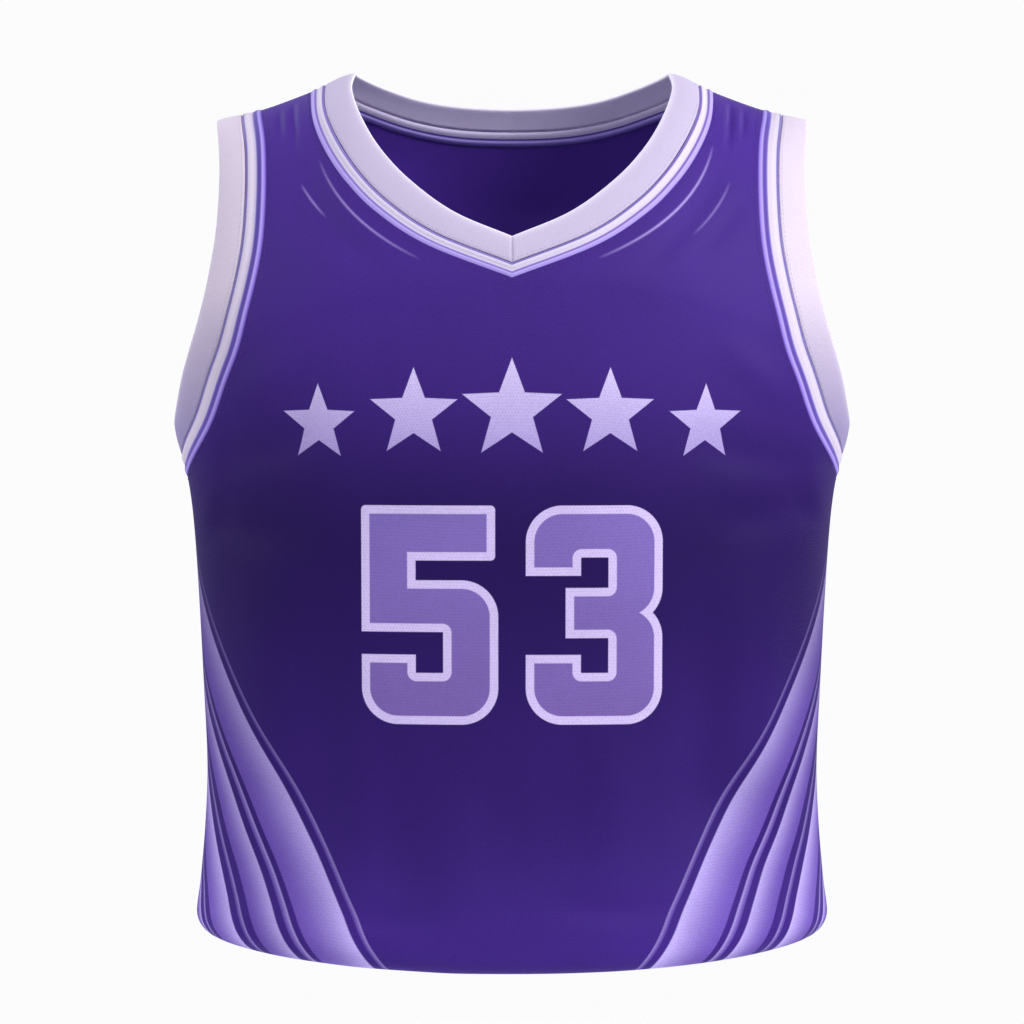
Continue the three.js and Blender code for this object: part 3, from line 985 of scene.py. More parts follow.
def print_star_group() -> bpy.types.NodeTree:
    """Distance to a five-pointed star that stands on two points, below zero inside it.

    Returns:
        The node group.
    """
    maker, given, result = new_group("print_star", {"Vector": None, "Radius": 0.03}, ["Distance"])
    split = maker.add("ShaderNodeSeparateXYZ", {0: given["Vector"]})
    length = maker.add("ShaderNodeVectorMath", {0: given["Vector"]}, operation="LENGTH").outputs["Value"]
    bearing = maker.math("ARCTAN2", split.outputs["X"], split.outputs["Y"])
    turns = maker.math("MULTIPLY", bearing, 5 / math.tau)
    folded = maker.math("ABSOLUTE", maker.math("SUBTRACT", turns, maker.math("ROUND", turns)))
    angle = maker.math("MULTIPLY", folded, math.tau / 5)
    run = STAR_VALLEY * math.cos(math.pi / 5) - 1
    rise = STAR_VALLEY * math.sin(math.pi / 5)
    size = math.hypot(run, rise)
    reach = maker.math("MULTIPLY", length, maker.math("COSINE", angle))
    along = maker.math("SUBTRACT", reach, given["Radius"])
    across = maker.math("MULTIPLY", length, maker.math("SINE", angle))
    distance = maker.math("MULTIPLY_ADD", along, rise / size, maker.math("MULTIPLY", across, -run / size))
    maker.give(result, {"Distance": distance})
    return maker.tree


def print_bar_group() -> bpy.types.NodeTree:
    """Distance to a slanted bar's edge, below zero inside it, and the place across it from 0 to 1.

    Returns:
        The node group.
    """
    sizes = dict.fromkeys(("From Seam", "Height", "Seam Height", "Half Width"), 0.0)
    maker, given, result = new_group("print_bar", sizes, ["Distance", "Lean"])
    drop = maker.math("SUBTRACT", given["Seam Height"], given["Height"])
    off = maker.math("SUBTRACT", given["From Seam"], maker.math("MULTIPLY", drop, BAR_SLANT))
    gap = maker.math("DIVIDE", off, math.hypot(1, BAR_SLANT))
    distance = maker.math("SUBTRACT", maker.math("ABSOLUTE", gap), given["Half Width"])
    lean = maker.math("MULTIPLY_ADD", maker.math("DIVIDE", gap, given["Half Width"]), 0.5, 0.5)
    maker.give(result, {"Distance": distance, "Lean": lean})
    return maker.tree


def ink_edge_group() -> bpy.types.NodeTree:
    """Turns a distance to a printed edge into ink: 1 inside, 0 outside, soft by the given bleed.

    Returns:
        The node group.
    """
    sizes = {"Distance": 0.0, "Inset": 0.0, "Bleed": 0.0004}
    maker, given, result = new_group("ink_edge", sizes, ["Ink"])
    depth = maker.math("ADD", given["Distance"], given["Inset"])
    ink = maker.math("SUBTRACT", 0.5, maker.math("DIVIDE", depth, given["Bleed"]), clamp=True)
    maker.give(result, {"Ink": ink})
    return maker.tree


@dataclass
class ClothEffects:
    """The node groups that the finishes share, built once."""

    loops: bpy.types.NodeTree = field(default_factory=knit_loops_group)
    pins: bpy.types.NodeTree = field(default_factory=pin_mesh_group)
    mottle: bpy.types.NodeTree = field(default_factory=mottle_group)
    ink: bpy.types.NodeTree = field(default_factory=ink_edge_group)
    box: bpy.types.NodeTree = field(default_factory=print_box_group)
    star: bpy.types.NodeTree = field(default_factory=print_star_group)
    bar: bpy.types.NodeTree = field(default_factory=print_bar_group)

    def weave(self, maker: NodeMaker, cloth: Socket, wale: float, course: float) -> Socket:
        """Height of knit loops of this size."""
        return maker.group(self.loops, {"Vector": cloth, "Wale": wale, "Course": course}).outputs[0]

    def tone(self, maker: NodeMaker, place: Socket, amount: float, grain: float) -> Socket:
        """Unevenness of the dye."""
        return maker.group(self.mottle, {"Vector": place, "Amount": amount, "Grain": grain}).outputs[0]


def new_material(name: str) -> tuple[Material, NodeMaker, bpy.types.Node]:
    """Starts a material with one Principled shader.

    Args:
        name: the material's name.

    Returns:
        The material, a maker for its nodes, and the shader.
    """
    material = bpy.data.materials.new(name)
    material.use_nodes = True
    maker = NodeMaker(material.node_tree)
    shader = next(node for node in material.node_tree.nodes if node.type == "BSDF_PRINCIPLED")
    return material, maker, shader


@dataclass(frozen=True)
class ClothShader:
    """The parts of a cloth's shading that every finish here has."""

    roughness: float
    sheen: float
    sheen_tint: Colour
    bump: float
    relief: float
    specular: float = 0.3
    sheen_roughness: float = 0.45

    def join(
        self,
        maker: NodeMaker,
        shader: bpy.types.Node,
        colour: Socket,
        tone: Socket,
        height: Socket,
    ) -> None:
        """Joins colour, tone and height to the shader.

        Args:
            maker: adds nodes to the material.
            shader: the material's Principled shader.
            colour: the colour before its unevenness.
            tone: the unevenness, about 1.
            height: the weave's height from 0 to 1.
        """
        toned = maker.add("ShaderNodeVectorMath", {0: colour, "Scale": tone}, operation="SCALE")
        rough = maker.math("MULTIPLY", tone, self.roughness, clamp=True)
        bumped = {"Strength": self.bump, "Distance": self.relief, "Height": height}
        bump = maker.add("ShaderNodeBump", bumped)
        maker.give(shader, {
            "Base Color": toned.outputs[0], "Roughness": rough, "Normal": bump.outputs[0],
            "Sheen Weight": self.sheen, "Sheen Tint": self.sheen_tint,
            "Sheen Roughness": self.sheen_roughness, "Specular IOR Level": self.specular,
        })


@dataclass(frozen=True)
class PrintPlace:
    """Where a point lies on a panel: across and up, its height, and its distance from a side seam."""

    across_up: Socket
    height: Socket
    from_seam: Socket


@dataclass(frozen=True)
class PanelKnit:
    """Fine sports knit with a ground darker at mid height, partly print and partly painted shade, and printed
    figures.
    """

    effects: ClothEffects
    # Ground from hem to shoulder, darker at mid height: partly a printed gradient, partly painted shade below
    # the chest
    ground: tuple[tuple[float, Colour], ...] = (
        (0.00, (0.046, 0.015, 0.215, 1)),
        (0.22, (0.027, 0.007, 0.136, 1)),
        (0.46, (0.016, 0.003, 0.088, 1)),
        (0.74, (0.052, 0.018, 0.225, 1)),
        (1.00, (0.066, 0.024, 0.275, 1)),
    )
    number_fill: Colour = (0.215, 0.150, 0.480, 1)
    number_fill_low: Colour = (0.190, 0.120, 0.400, 1)
    number_rim: Colour = (0.640, 0.540, 0.860, 1)
    star_top: Colour = (0.690, 0.600, 0.920, 1)
    star_foot: Colour = (0.370, 0.290, 0.640, 1)
    bar_light: Colour = (0.560, 0.460, 0.900, 1)
    bar_dark: Colour = (0.160, 0.090, 0.460, 1)
    fold_light: Colour = (0.520, 0.410, 0.870, 1)
    wale: float = 0.0011
    course: float = 0.0009
    fold_width: float = 0.0008
    shading: ClothShader = ClothShader(0.60, 0.05, (0.50, 0.35, 1.0, 1), 0.50, 0.00022, 0.14)

    def _ground(self, maker: NodeMaker, height: Socket, depth: float = 1.0) -> Socket:
        """The ground's colour by height, from the hem to the shoulder, times depth; the darker middle is
        partly painted shade.

        Args:
            maker: adds nodes to the material.
            height: the point's height.
            depth: what the ground's colours are multiplied by.

        Returns:
            The colour.
        """
        stops = [(place, (*(depth * c for c in colour[:3]), 1)) for place, colour in self.ground]
        return maker.ramp(maker.spread(height, -0.60, 0.0), stops, "EASE")

    def _ink(self, maker: NodeMaker, distance: Socket, inset: float, bleed: float) -> Socket:
        """Where a figure is printed, from the distance to its edge."""
        given = {"Distance": distance, "Inset": inset, "Bleed": bleed}
        return maker.group(self.effects.ink, given).outputs["Ink"]

    def _boxes(self, maker: NodeMaker, place: Socket, boxes: Sequence[PrintBox]) -> Socket:
        """Distance to the nearest of some boxes.

        Args:
            maker: adds nodes to the material.
            place: the point, across and up.
            boxes: the boxes.

        Returns:
            The distance.
        """
        distances = []
        for box in boxes:
            middle = ((box.left + box.right) / 2, (box.low + box.high) / 2, 0.0)
            core = ((box.right - box.left) / 2 - box.radius, (box.high - box.low) / 2 - box.radius, 1.0)
            given = {"Vector": place, "Middle": middle, "Core": core, "Radius": box.radius}
            distances.append(maker.group(self.effects.box, given).outputs["Distance"])
        return maker.nearest(distances)

    def _number(self, maker: NodeMaker, number: PrintedNumber, place: Socket) -> Socket:
        """Distance to the number's outline.

        Args:
            maker: adds nodes to the material.
            number: the number.
            place: the point, across and up.

        Returns:
            The distance.
        """
        scale = number.digit_height / DIGIT_HEIGHT
        pitch = DIGIT_WIDTH * scale + number.digit_gap
        left = -(pitch * len(number.text) - number.digit_gap) / 2
        distances = []
        for i, digit in enumerate(number.text):
            shape = DIGITS[digit]
            corner = (left + i * pitch, number.middle_height - number.digit_height / 2, 0.0)
            local = maker.vector("MULTIPLY", maker.vector("SUBTRACT", place, corner), (1 / scale,) * 3)
            counters = maker.math("MULTIPLY", self._boxes(maker, local, shape.counters), -1.0)
            parts = [maker.math("MAXIMUM", self._boxes(maker, local, shape.bowls), counters)]
            if shape.strokes:
                parts.append(self._boxes(maker, local, shape.strokes))
            distances.append(maker.math("MULTIPLY", maker.nearest(parts), scale))
        return maker.nearest(distances)

    def _stars(self, maker: NodeMaker, row: StarRow, place: Socket) -> Socket:
        """Distance to the outlines of a row of stars.

        Args:
            maker: adds nodes to the material.
            row: the row of stars.
            place: the point, across and up.

        Returns:
            The distance.
        """
        distances = []
        for x, z, radius in row.stars():
            local = maker.vector("SUBTRACT", place, (x, z, 0.0))
            given = {"Vector": local, "Radius": radius}
            distances.append(maker.group(self.effects.star, given).outputs["Distance"])
        return maker.nearest(distances)

    def _add_bars(
        self, maker: NodeMaker, bars: Sequence[SideBar], place: PrintPlace, colour: Socket
    ) -> Socket:
        """Prints the bars over a colour, bright at the hem and on their inner edge, fainter at the top.

        Args:
            maker: adds nodes to the material.
            bars: the bars.
            place: where the point lies.
            colour: the colour under the bars.

        Returns:
            The colour with the bars.
        """
        rise = maker.spread(place.height, -0.59, -0.32, 1.0, 0.26)
        for bar in bars:
            given = {
                "From Seam": place.from_seam, "Height": place.height, "Seam Height": bar.seam_height,
                "Half Width": bar.half_width,
            }
            found = maker.group(self.effects.bar, given)
            lean = maker.math("POWER", maker.math("MULTIPLY", found.outputs["Lean"], 1.0, clamp=True), 1.8)
            fill = maker.mix(lean, self.bar_dark, self.bar_light)
            ink = self._ink(maker, found.outputs["Distance"], 0.0, 0.0010)
            shown = maker.math("MULTIPLY", maker.math("MULTIPLY", ink, rise), bar.strength)
            colour = maker.mix(shown, colour, fill)
        return colour

    def _fold(self, maker: NodeMaker) -> Socket:
        """Height of the sharp little folds, from 0 to 1, which also places their painted highlight.

        Args:
            maker: adds nodes to the material.

        Returns:
            The height.
        """
        gap = maker.math("DIVIDE", maker.attribute("fold_gap"), self.fold_width)
        ridge = maker.math("EXPONENT", maker.math("MULTIPLY", maker.math("MULTIPLY", gap, gap), -1.0))
        return maker.math("MULTIPLY", ridge, maker.attribute("fold_taper"))

    def material(self, name: str, pattern: PanelPrint, reads: int) -> Material:
        """Makes the material of a panel's printed face.

        Args:
            name: the material's name.
            pattern: what is printed on it.
            reads: 1 where the print reads towards +X and -1 where it reads towards -X.

        Returns:
            The material.
        """
        material, maker, shader = new_material(name)
        place, cloth = maker.place(), maker.cloth()
        height = maker.part(place, "Z")
        across = maker.math("MULTIPLY", maker.part(cloth, "X"), float(reads))
        across_up = maker.add("ShaderNodeCombineXYZ", {0: across, 1: height}).outputs[0]
        spot = PrintPlace(across_up, height, maker.attribute("from_seam"))
        colour = self._add_bars(maker, pattern.bars, spot, self._ground(maker, height))
        low, high = (pattern.stars.middle_height + way * pattern.stars.radius for way in (-1, 1))
        star = maker.mix(maker.spread(height, low, high), self.star_foot, self.star_top)
        stars = self._stars(maker, pattern.stars, across_up)
        colour = maker.mix(self._ink(maker, stars, 0.0, 0.0005), colour, star)
        number = self._number(maker, pattern.number, across_up)
        colour = maker.mix(self._ink(maker, number, 0.0, 0.0005), colour, self.number_rim)
        half = pattern.number.digit_height / 2
        low, high = (pattern.number.middle_height + way * half for way in (-1, 1))
        fill = maker.mix(maker.spread(height, low, high), self.number_fill_low, self.number_fill)
        colour = maker.mix(self._ink(maker, number, pattern.number.rim, 0.0006), colour, fill)
        fold = self._fold(maker)
        # Painted highlight along the sharp little folds
        colour = maker.mix(maker.math("MULTIPLY", fold, 0.75), colour, self.fold_light)
        loops = self.effects.weave(maker, cloth, self.wale, self.course)
        pins = maker.group(self.effects.pins, {"Vector": cloth, "Pitch": 0.0021, "Size": 0.34}).outputs[0]
        weave = maker.math("MULTIPLY_ADD", loops, 0.4, maker.math("MULTIPLY", pins, 0.6))
        relief = maker.math("MULTIPLY_ADD", fold, 3.0, weave)
        mottle = self.effects.tone(maker, place, 0.30, 800.0)
        # The pin dimples darken the colour: painted shade in the mesh's dimples
        tone = maker.math("MULTIPLY", mottle, maker.math("MULTIPLY_ADD", pins, 0.16, 0.87))
        self.shading.join(maker, shader, colour, tone, relief)
        return material

    def inside_material(self) -> Material:
        """Makes the material of the cloth's inner face, where the print doesn't show.

        Returns:
            The material.
        """
        material, maker, shader = new_material("knit_inside")
        place, cloth = maker.place(), maker.cloth()
        height = maker.part(place, "Z")
        loops = self.effects.weave(maker, cloth, self.wale, self.course)
        tone = self.effects.tone(maker, place, 0.4, 700.0)
        # The inner face's ground is brightened by 1.15: painted light inside the jersey
        self.shading.join(maker, shader, self._ground(maker, height, 1.15), tone, loops)
        return material


# Lilac of the inner faces, lighter than the bands' outer faces: painted light inside the openings
INNER_PAINTED_LIGHT_LILAC: Colour = (0.760, 0.690, 0.930, 1)


@dataclass(frozen=True)
class BandRib:
    """Pale fine rib of the folded bands, with painted highlight on the fold and painted shade low down."""

    effects: ClothEffects
    pale: Colour
    # Painted shade: the colour the band darkens to low down, towards the underarms
    low: Colour = (0.290, 0.248, 0.455, 1)
    # Painted highlight along the band's fold
    fold: Colour = (0.880, 0.840, 0.950, 1)
    inner: Colour = INNER_PAINTED_LIGHT_LILAC
    rib_pitch: float = 0.0013
    painted_shade_top: float = -0.145
    painted_shade_foot: float = -0.245
    shading: ClothShader = ClothShader(0.72, 0.10, (0.90, 0.86, 1.0, 1), 0.35, 0.00025)

    def material(self, name: str) -> Material:
        """Makes the rib's material, under the given name.

        Args:
            name: the material's name.

        Returns:
            The material.
        """
        material, maker, shader = new_material(name)
        place, cloth = maker.place(), maker.cloth()
        phase = maker.math("MULTIPLY", maker.part(cloth, "X"), math.tau / self.rib_pitch)
        rib = maker.math("MULTIPLY_ADD", maker.math("SINE", phase), 0.5, 0.5)
        loops = self.effects.weave(maker, cloth, self.rib_pitch, 0.0009)
        height = maker.math("MULTIPLY_ADD", loops, 0.35, maker.math("MULTIPLY", rib, 0.65))
        tone = self.effects.tone(maker, place, 0.10, 600.0)
        # Painted shade: darker low down, towards the underarms
        fade = maker.spread(maker.part(place, "Z"), self.painted_shade_top, self.painted_shade_foot)
        colour = maker.mix(fade, self.pale, self.low)
        # Painted highlight along the fold
        colour = maker.mix(maker.attribute("fold"), colour, self.fold)
        # Painted light: the lighter lilac of the inner face
        colour = maker.mix(maker.attribute("inner"), colour, self.inner)
        self.shading.join(maker, shader, colour, tone, height)
        return material


@dataclass(frozen=True)
class StripeTape:
    """Striped tape: from the band, a dark line, a white stripe, a dark line and a bright line."""

    effects: ClothEffects
    stripes: tuple[tuple[float, Colour], ...]
    inside: tuple[tuple[float, Colour], ...] = (
        (0.00, (0.050, 0.022, 0.240, 1)), (0.07, (0.260, 0.170, 0.700, 1)),
        (0.18, (0.560, 0.460, 0.980, 1)), (0.28, (0.160, 0.090, 0.560, 1)),
        (0.38, (0.080, 0.040, 0.340, 1)), (0.44, INNER_PAINTED_LIGHT_LILAC),
    )
    shading: ClothShader = ClothShader(0.66, 0.08, (0.85, 0.8, 1.0, 1), 0.30, 0.0002)

    def material(self, name: str) -> Material:
        """Makes the tape's material, under the given name.

        Args:
            name: the material's name.

        Returns:
            The material.
        """
        material, maker, shader = new_material(name)
        across = maker.attribute("across")
        faces = [maker.ramp(across, stripes, "LINEAR") for stripes in (self.stripes, self.inside)]
        colour = maker.mix(maker.attribute("inner"), *faces)
        loops = self.effects.weave(maker, maker.cloth(), 0.0009, 0.0008)
        tone = self.effects.tone(maker, maker.place(), 0.10, 600.0)
        self.shading.join(maker, shader, colour, tone, loops)
        return material


@dataclass(frozen=True)
class SewingThread:
    """Matt polyester thread of one colour."""

    effects: ClothEffects
    colour: Colour

    def material(self, name: str) -> Material:
        """Makes the thread's material, under the given name.

        Args:
            name: the material's name.

        Returns:
            The material.
        """
        material, maker, shader = new_material(name)
        place = maker.place()
        tone = self.effects.tone(maker, place, 0.25, 2500.0)
        darker = tuple(0.7 * c for c in self.colour[:3]) + (1,)
        ply = {"Vector": place, "Scale": 900.0}
        twist = maker.add("ShaderNodeTexWave", ply, bands_direction="DIAGONAL")
        colour = maker.mix(twist.outputs["Fac"], self.colour, darker)
        toned = maker.add("ShaderNodeVectorMath", {0: colour, "Scale": tone}, operation="SCALE")
        maker.give(shader, {"Base Color": toned.outputs[0], "Roughness": 0.6})
        return material


def lengths_along(points: np.ndarray, axis: int) -> np.ndarray:
    """Distance along the rows or columns of an array of points, from the first.

    Args:
        points: rows and columns of points.
        axis: 0 along the rows, 1 along the columns.

    Returns:
        The distance at each point.
    """
    steps = np.linalg.norm(np.diff(points, axis=axis), axis=-1)
    start = np.zeros_like(np.take(steps, [0], axis=axis))
    return np.concatenate([start, np.cumsum(steps, axis=axis)], axis=axis)


def write_cloth_map(piece: Piece) -> None:
    """Makes the piece's UV map, in metres along the cloth, from its values run and rise.

    Args:
        piece: the piece, with both values at its points.
    """
    mesh = piece.data
    count = len(mesh.vertices)
    run, rise = np.zeros(count), np.zeros(count)
    mesh.attributes["run"].data.foreach_get("value", run)
    mesh.attributes["rise"].data.foreach_get("value", rise)
    corners = np.zeros(len(mesh.loops), dtype=int)
    mesh.loops.foreach_get("vertex_index", corners)
    layer = mesh.uv_layers.new(name="cloth")
    layer.uv.foreach_set("vector", np.stack([run[corners], rise[corners]], axis=1).ravel())
    for name in ("run", "rise"):
        mesh.attributes.remove(mesh.attributes[name])


def closed_strip(name: str, points: np.ndarray, marks: dict[str, np.ndarray], material: Material) -> Piece:
    """Makes a closed strip of a grid of points whose first and last columns meet.

    Args:
        name: the object's name.
        points: rows along the strip, columns round its section.
        marks: values kept at each point, run and rise among them.
        material: the strip's material.

    Returns:
        The strip's object.
    """
    bm = bmesh.new()
    grid_onto(bm, points, marks)
    bmesh.ops.remove_doubles(bm, verts=bm.verts, dist=1e-6)
    bmesh.ops.holes_fill(bm, edges=[edge for edge in bm.edges if edge.is_boundary])
    bmesh.ops.recalc_face_normals(bm, faces=bm.faces)
    piece = mesh_object(bm, name, [material])
    write_cloth_map(piece)
    return piece


@dataclass
class ClothPanel:
    """The front or the back panel: one piece of knit from the lip inside the hem up to both shoulders."""

    side: Side
    wall: float = 0.0011
    half_columns: int = 94
    hem_rows: int = 18
    lip_rows: int = 4
    body_rows: int = 98
    chest_rows: int = 50
    strap_rows: int = 56
    strap_start: float = 0.375

    def _full_rows(self) -> tuple[np.ndarray, np.ndarray, np.ndarray, np.ndarray]:
        """Turn, height, roll and lift of the rows that run right across, from the lip upwards.

        Returns:
            Four arrays, a row for each row of points.
        """
        share = np.linspace(-1, 1, 2 * self.half_columns + 1)
        full_turn = share * 90
        top = FORM.hem_top(self.side, full_turn)
        rows: list[tuple[np.ndarray, np.ndarray, float, float]] = []
        for step in range(self.lip_rows, 0, -1):
            rows.append((full_turn, top, math.pi, HEM_LIP * step / self.lip_rows))
        for step in range(self.hem_rows, 0, -1):
            rows.append((full_turn, top, math.pi * step / self.hem_rows, 0.0))
        for step in range(self.body_rows):
            rows.append((full_turn, top + (UNDERARM_HEIGHT - top) * step / self.body_rows, 0.0, 0.0))
        arm = EDGINGS[Opening.ARMHOLE, self.side]
        neck_bottom = EDGINGS[Opening.NECK, self.side].at(1.0, 0.0, 0.0)[1]
        shares = arm.even_shares(1.0, self.strap_start, self.chest_rows)
        edge_turn, edge_height = arm.at(shares, 0.0, 0.0)
        for step in range(self.chest_rows + 1):
            centre = UNDERARM_HEIGHT + (neck_bottom - UNDERARM_HEIGHT) * step / self.chest_rows
            height = centre + (edge_height[step] - centre) * share**2
            rows.append((share * edge_turn[step], height, 0.0, 0.0))
        turn = np.stack([row[0] for row in rows])
        height = np.stack([row[1] for row in rows])
        roll = np.stack([np.full(share.shape, row[2]) for row in rows])
        lift = np.stack([np.full(share.shape, row[3]) for row in rows])
        return turn, height, roll, lift

    def _strap_rows(self, hand: Hand) -> Places:
        """Turn and height of one strap's rows above its lowest, from the neckline out to the armhole.

        Args:
            hand: the wearer's left or right.

        Returns:
            Two arrays, a row for each row of points.
        """
        neck = EDGINGS[Opening.NECK, self.side]
        arm = EDGINGS[Opening.ARMHOLE, self.side]
        neck_edge = neck.at(neck.even_shares(1.0, 0.0, self.strap_rows), 0.0, 0.0)
        arm_edge = arm.at(arm.even_shares(self.strap_start, 0.0, self.strap_rows), 0.0, 0.0)
        share = np.linspace(0, 1, self.half_columns + 1)[None, :]
        start = tuple(edge[1:, None] for edge in neck_edge)
        end = tuple(edge[1:, None] for edge in arm_edge)
        turn, height = FORM.between(start, end, share)
        flat = start[1] + (end[1] - start[1]) * share**2
        blend = (np.arange(1, self.strap_rows + 1) / self.strap_rows)[:, None]
        return turn * hand.value, flat + (height - flat) * blend

    def lay(self, turn: np.ndarray, height: np.ndarray, roll: np.ndarray, lift: np.ndarray) -> np.ndarray:
        """Finds the points of places on the creased cloth, with the hem rolled under.

        Args:
            turn: degrees from the centre line.
            height: height above the neck points.
            roll: how far round the hem's roll, from 0 to pi.
            lift: how far up the lip inside the hem.

        Returns:
            An array of points.
        """
        side = np.full(turn.shape, float(self.side.value))
        point = FORM.point(side, turn, height)
        outward = FORM.normal(side, turn, height)
        level = outward * [1, 1, 0]
        level /= np.maximum(np.linalg.norm(level, axis=-1, keepdims=True), 1e-9)
        bent = level * (HEM_ROLL_DOWN * np.cos(roll))[..., None]
        bent[..., 2] = -HEM_ROLL_IN * np.sin(roll)
        bent /= np.linalg.norm(bent, axis=-1, keepdims=True)
        rolled = (roll > 0)[..., None]
        moved = point - level * (HEM_ROLL_IN * (1 - np.cos(roll)))[..., None]
        moved[..., 2] += lift - HEM_ROLL_DOWN * np.sin(roll)
        point = np.where(rolled, moved, point)
        outward = np.where(rolled, bent, outward)
        relief = FORM.relief(side, point[..., 0], np.maximum(height, -0.575))
        relief *= 1 - smooth_step(0.3 * math.pi, math.pi, roll)
        relief -= SIDE_SEAM_DEPTH * np.exp(-(((90 - np.abs(turn)) / 0.5) ** 2))
        return point + outward * relief[..., None]

    def _marks(
        self, points: np.ndarray, run: np.ndarray, rise: np.ndarray, girth: np.ndarray
    ) -> dict[str, np.ndarray]:
        """Everything that the panel's mesh keeps at each point.

        Args:
            points: the panel's points.
            run: metres across the cloth, from the centre line.
            rise: metres up the cloth.
            girth: metres from the centre line to the side seam.

        Returns:
            Each value under its name.
        """
        gap = np.full(run.shape, 1.0)
        taper = np.zeros(run.shape)
        for fold in FINE_FOLDS:
            if fold.path.side is self.side:
                new_gap, along = fold.path.measure(points[..., 0], points[..., 2])
                closer = np.abs(new_gap) < np.abs(gap)
                gap = np.where(closer, new_gap, gap)
                near = fold.strength * (1 - smooth_step(0.0035, 0.0055, np.abs(new_gap)))
                taper = np.where(closer, near * np.sin(np.pi * along) ** 0.7, taper)
        from_seam = girth - np.abs(run)
        return {"run": run, "rise": rise, "from_seam": from_seam, "fold_gap": gap, "fold_taper": taper}

    def build(self, material: Material, inside: Material) -> Piece:
        """Builds the panel.

        Args:
            material: the printed face's material.
            inside: the inner face's material.

        Returns:
            The panel's object.
        """
        turn, height, roll, lift = self._full_rows()
        points = self.lay(turn, height, roll, lift)
        middle = self.half_columns
        run = lengths_along(FORM.point(self.side.value, turn, height), 1)
        run -= run[:, middle:middle + 1]
        rise = lengths_along(points, 0)
        seam_row = self.lip_rows + self.hem_rows + self.body_rows
        girth = np.broadcast_to(run[:, -1:], run.shape).copy()
        girth[seam_row:] = run[seam_row, -1]
        bm = bmesh.new()
        grid_onto(bm, points, self._marks(points, run, rise, girth))
        for hand in Hand:
            strap_turn, strap_height = self._strap_rows(hand)
            step = slice(middle, None) if hand is Hand.LEFT else slice(middle, None, -1)
            flat = np.zeros(strap_turn.shape)
            strap = self.lay(strap_turn, strap_height, flat, flat)
            strap = np.concatenate([points[-1:, step], strap])
            smooth = FORM.point(self.side.value, strap_turn, strap_height)
            strap_run = hand.value * (lengths_along(smooth, 1) + np.abs(smooth[:, :1, 0]))
            strap_run = np.concatenate([run[-1:, step], strap_run])
            strap_rise = lengths_along(strap, 0) + rise[-1, step]
            marks = self._marks(strap, strap_run, strap_rise, np.full(strap_run.shape, girth[-1, -1]))
            if hand is Hand.RIGHT:
                strap = strap[:, ::-1]
                marks = {name: values[:, ::-1] for name, values in marks.items()}
            grid_onto(bm, strap, marks)
        bmesh.ops.remove_doubles(bm, verts=bm.verts, dist=1e-6)
        if self.side is Side.BACK:
            bmesh.ops.reverse_faces(bm, faces=bm.faces)
        name = f"{self.side.name.lower()}_panel_knit"
        piece = mesh_object(bm, name, [material, inside])
        write_cloth_map(piece)
        wall = piece.modifiers.new("wall", "SOLIDIFY")
        wall.thickness = self.wall
        wall.offset = 0
        wall.material_offset = 1
        wall.material_offset_rim = 0
        return piece


@dataclass(frozen=True)
class ProfilePoint:
    """A point of a strip's section: across it, metres past that, and out from the middle surface."""

    part: float
    past: float
    lift: float
    across: float = 0.0
    fold: float = 0.0
    inner: float = 0.0


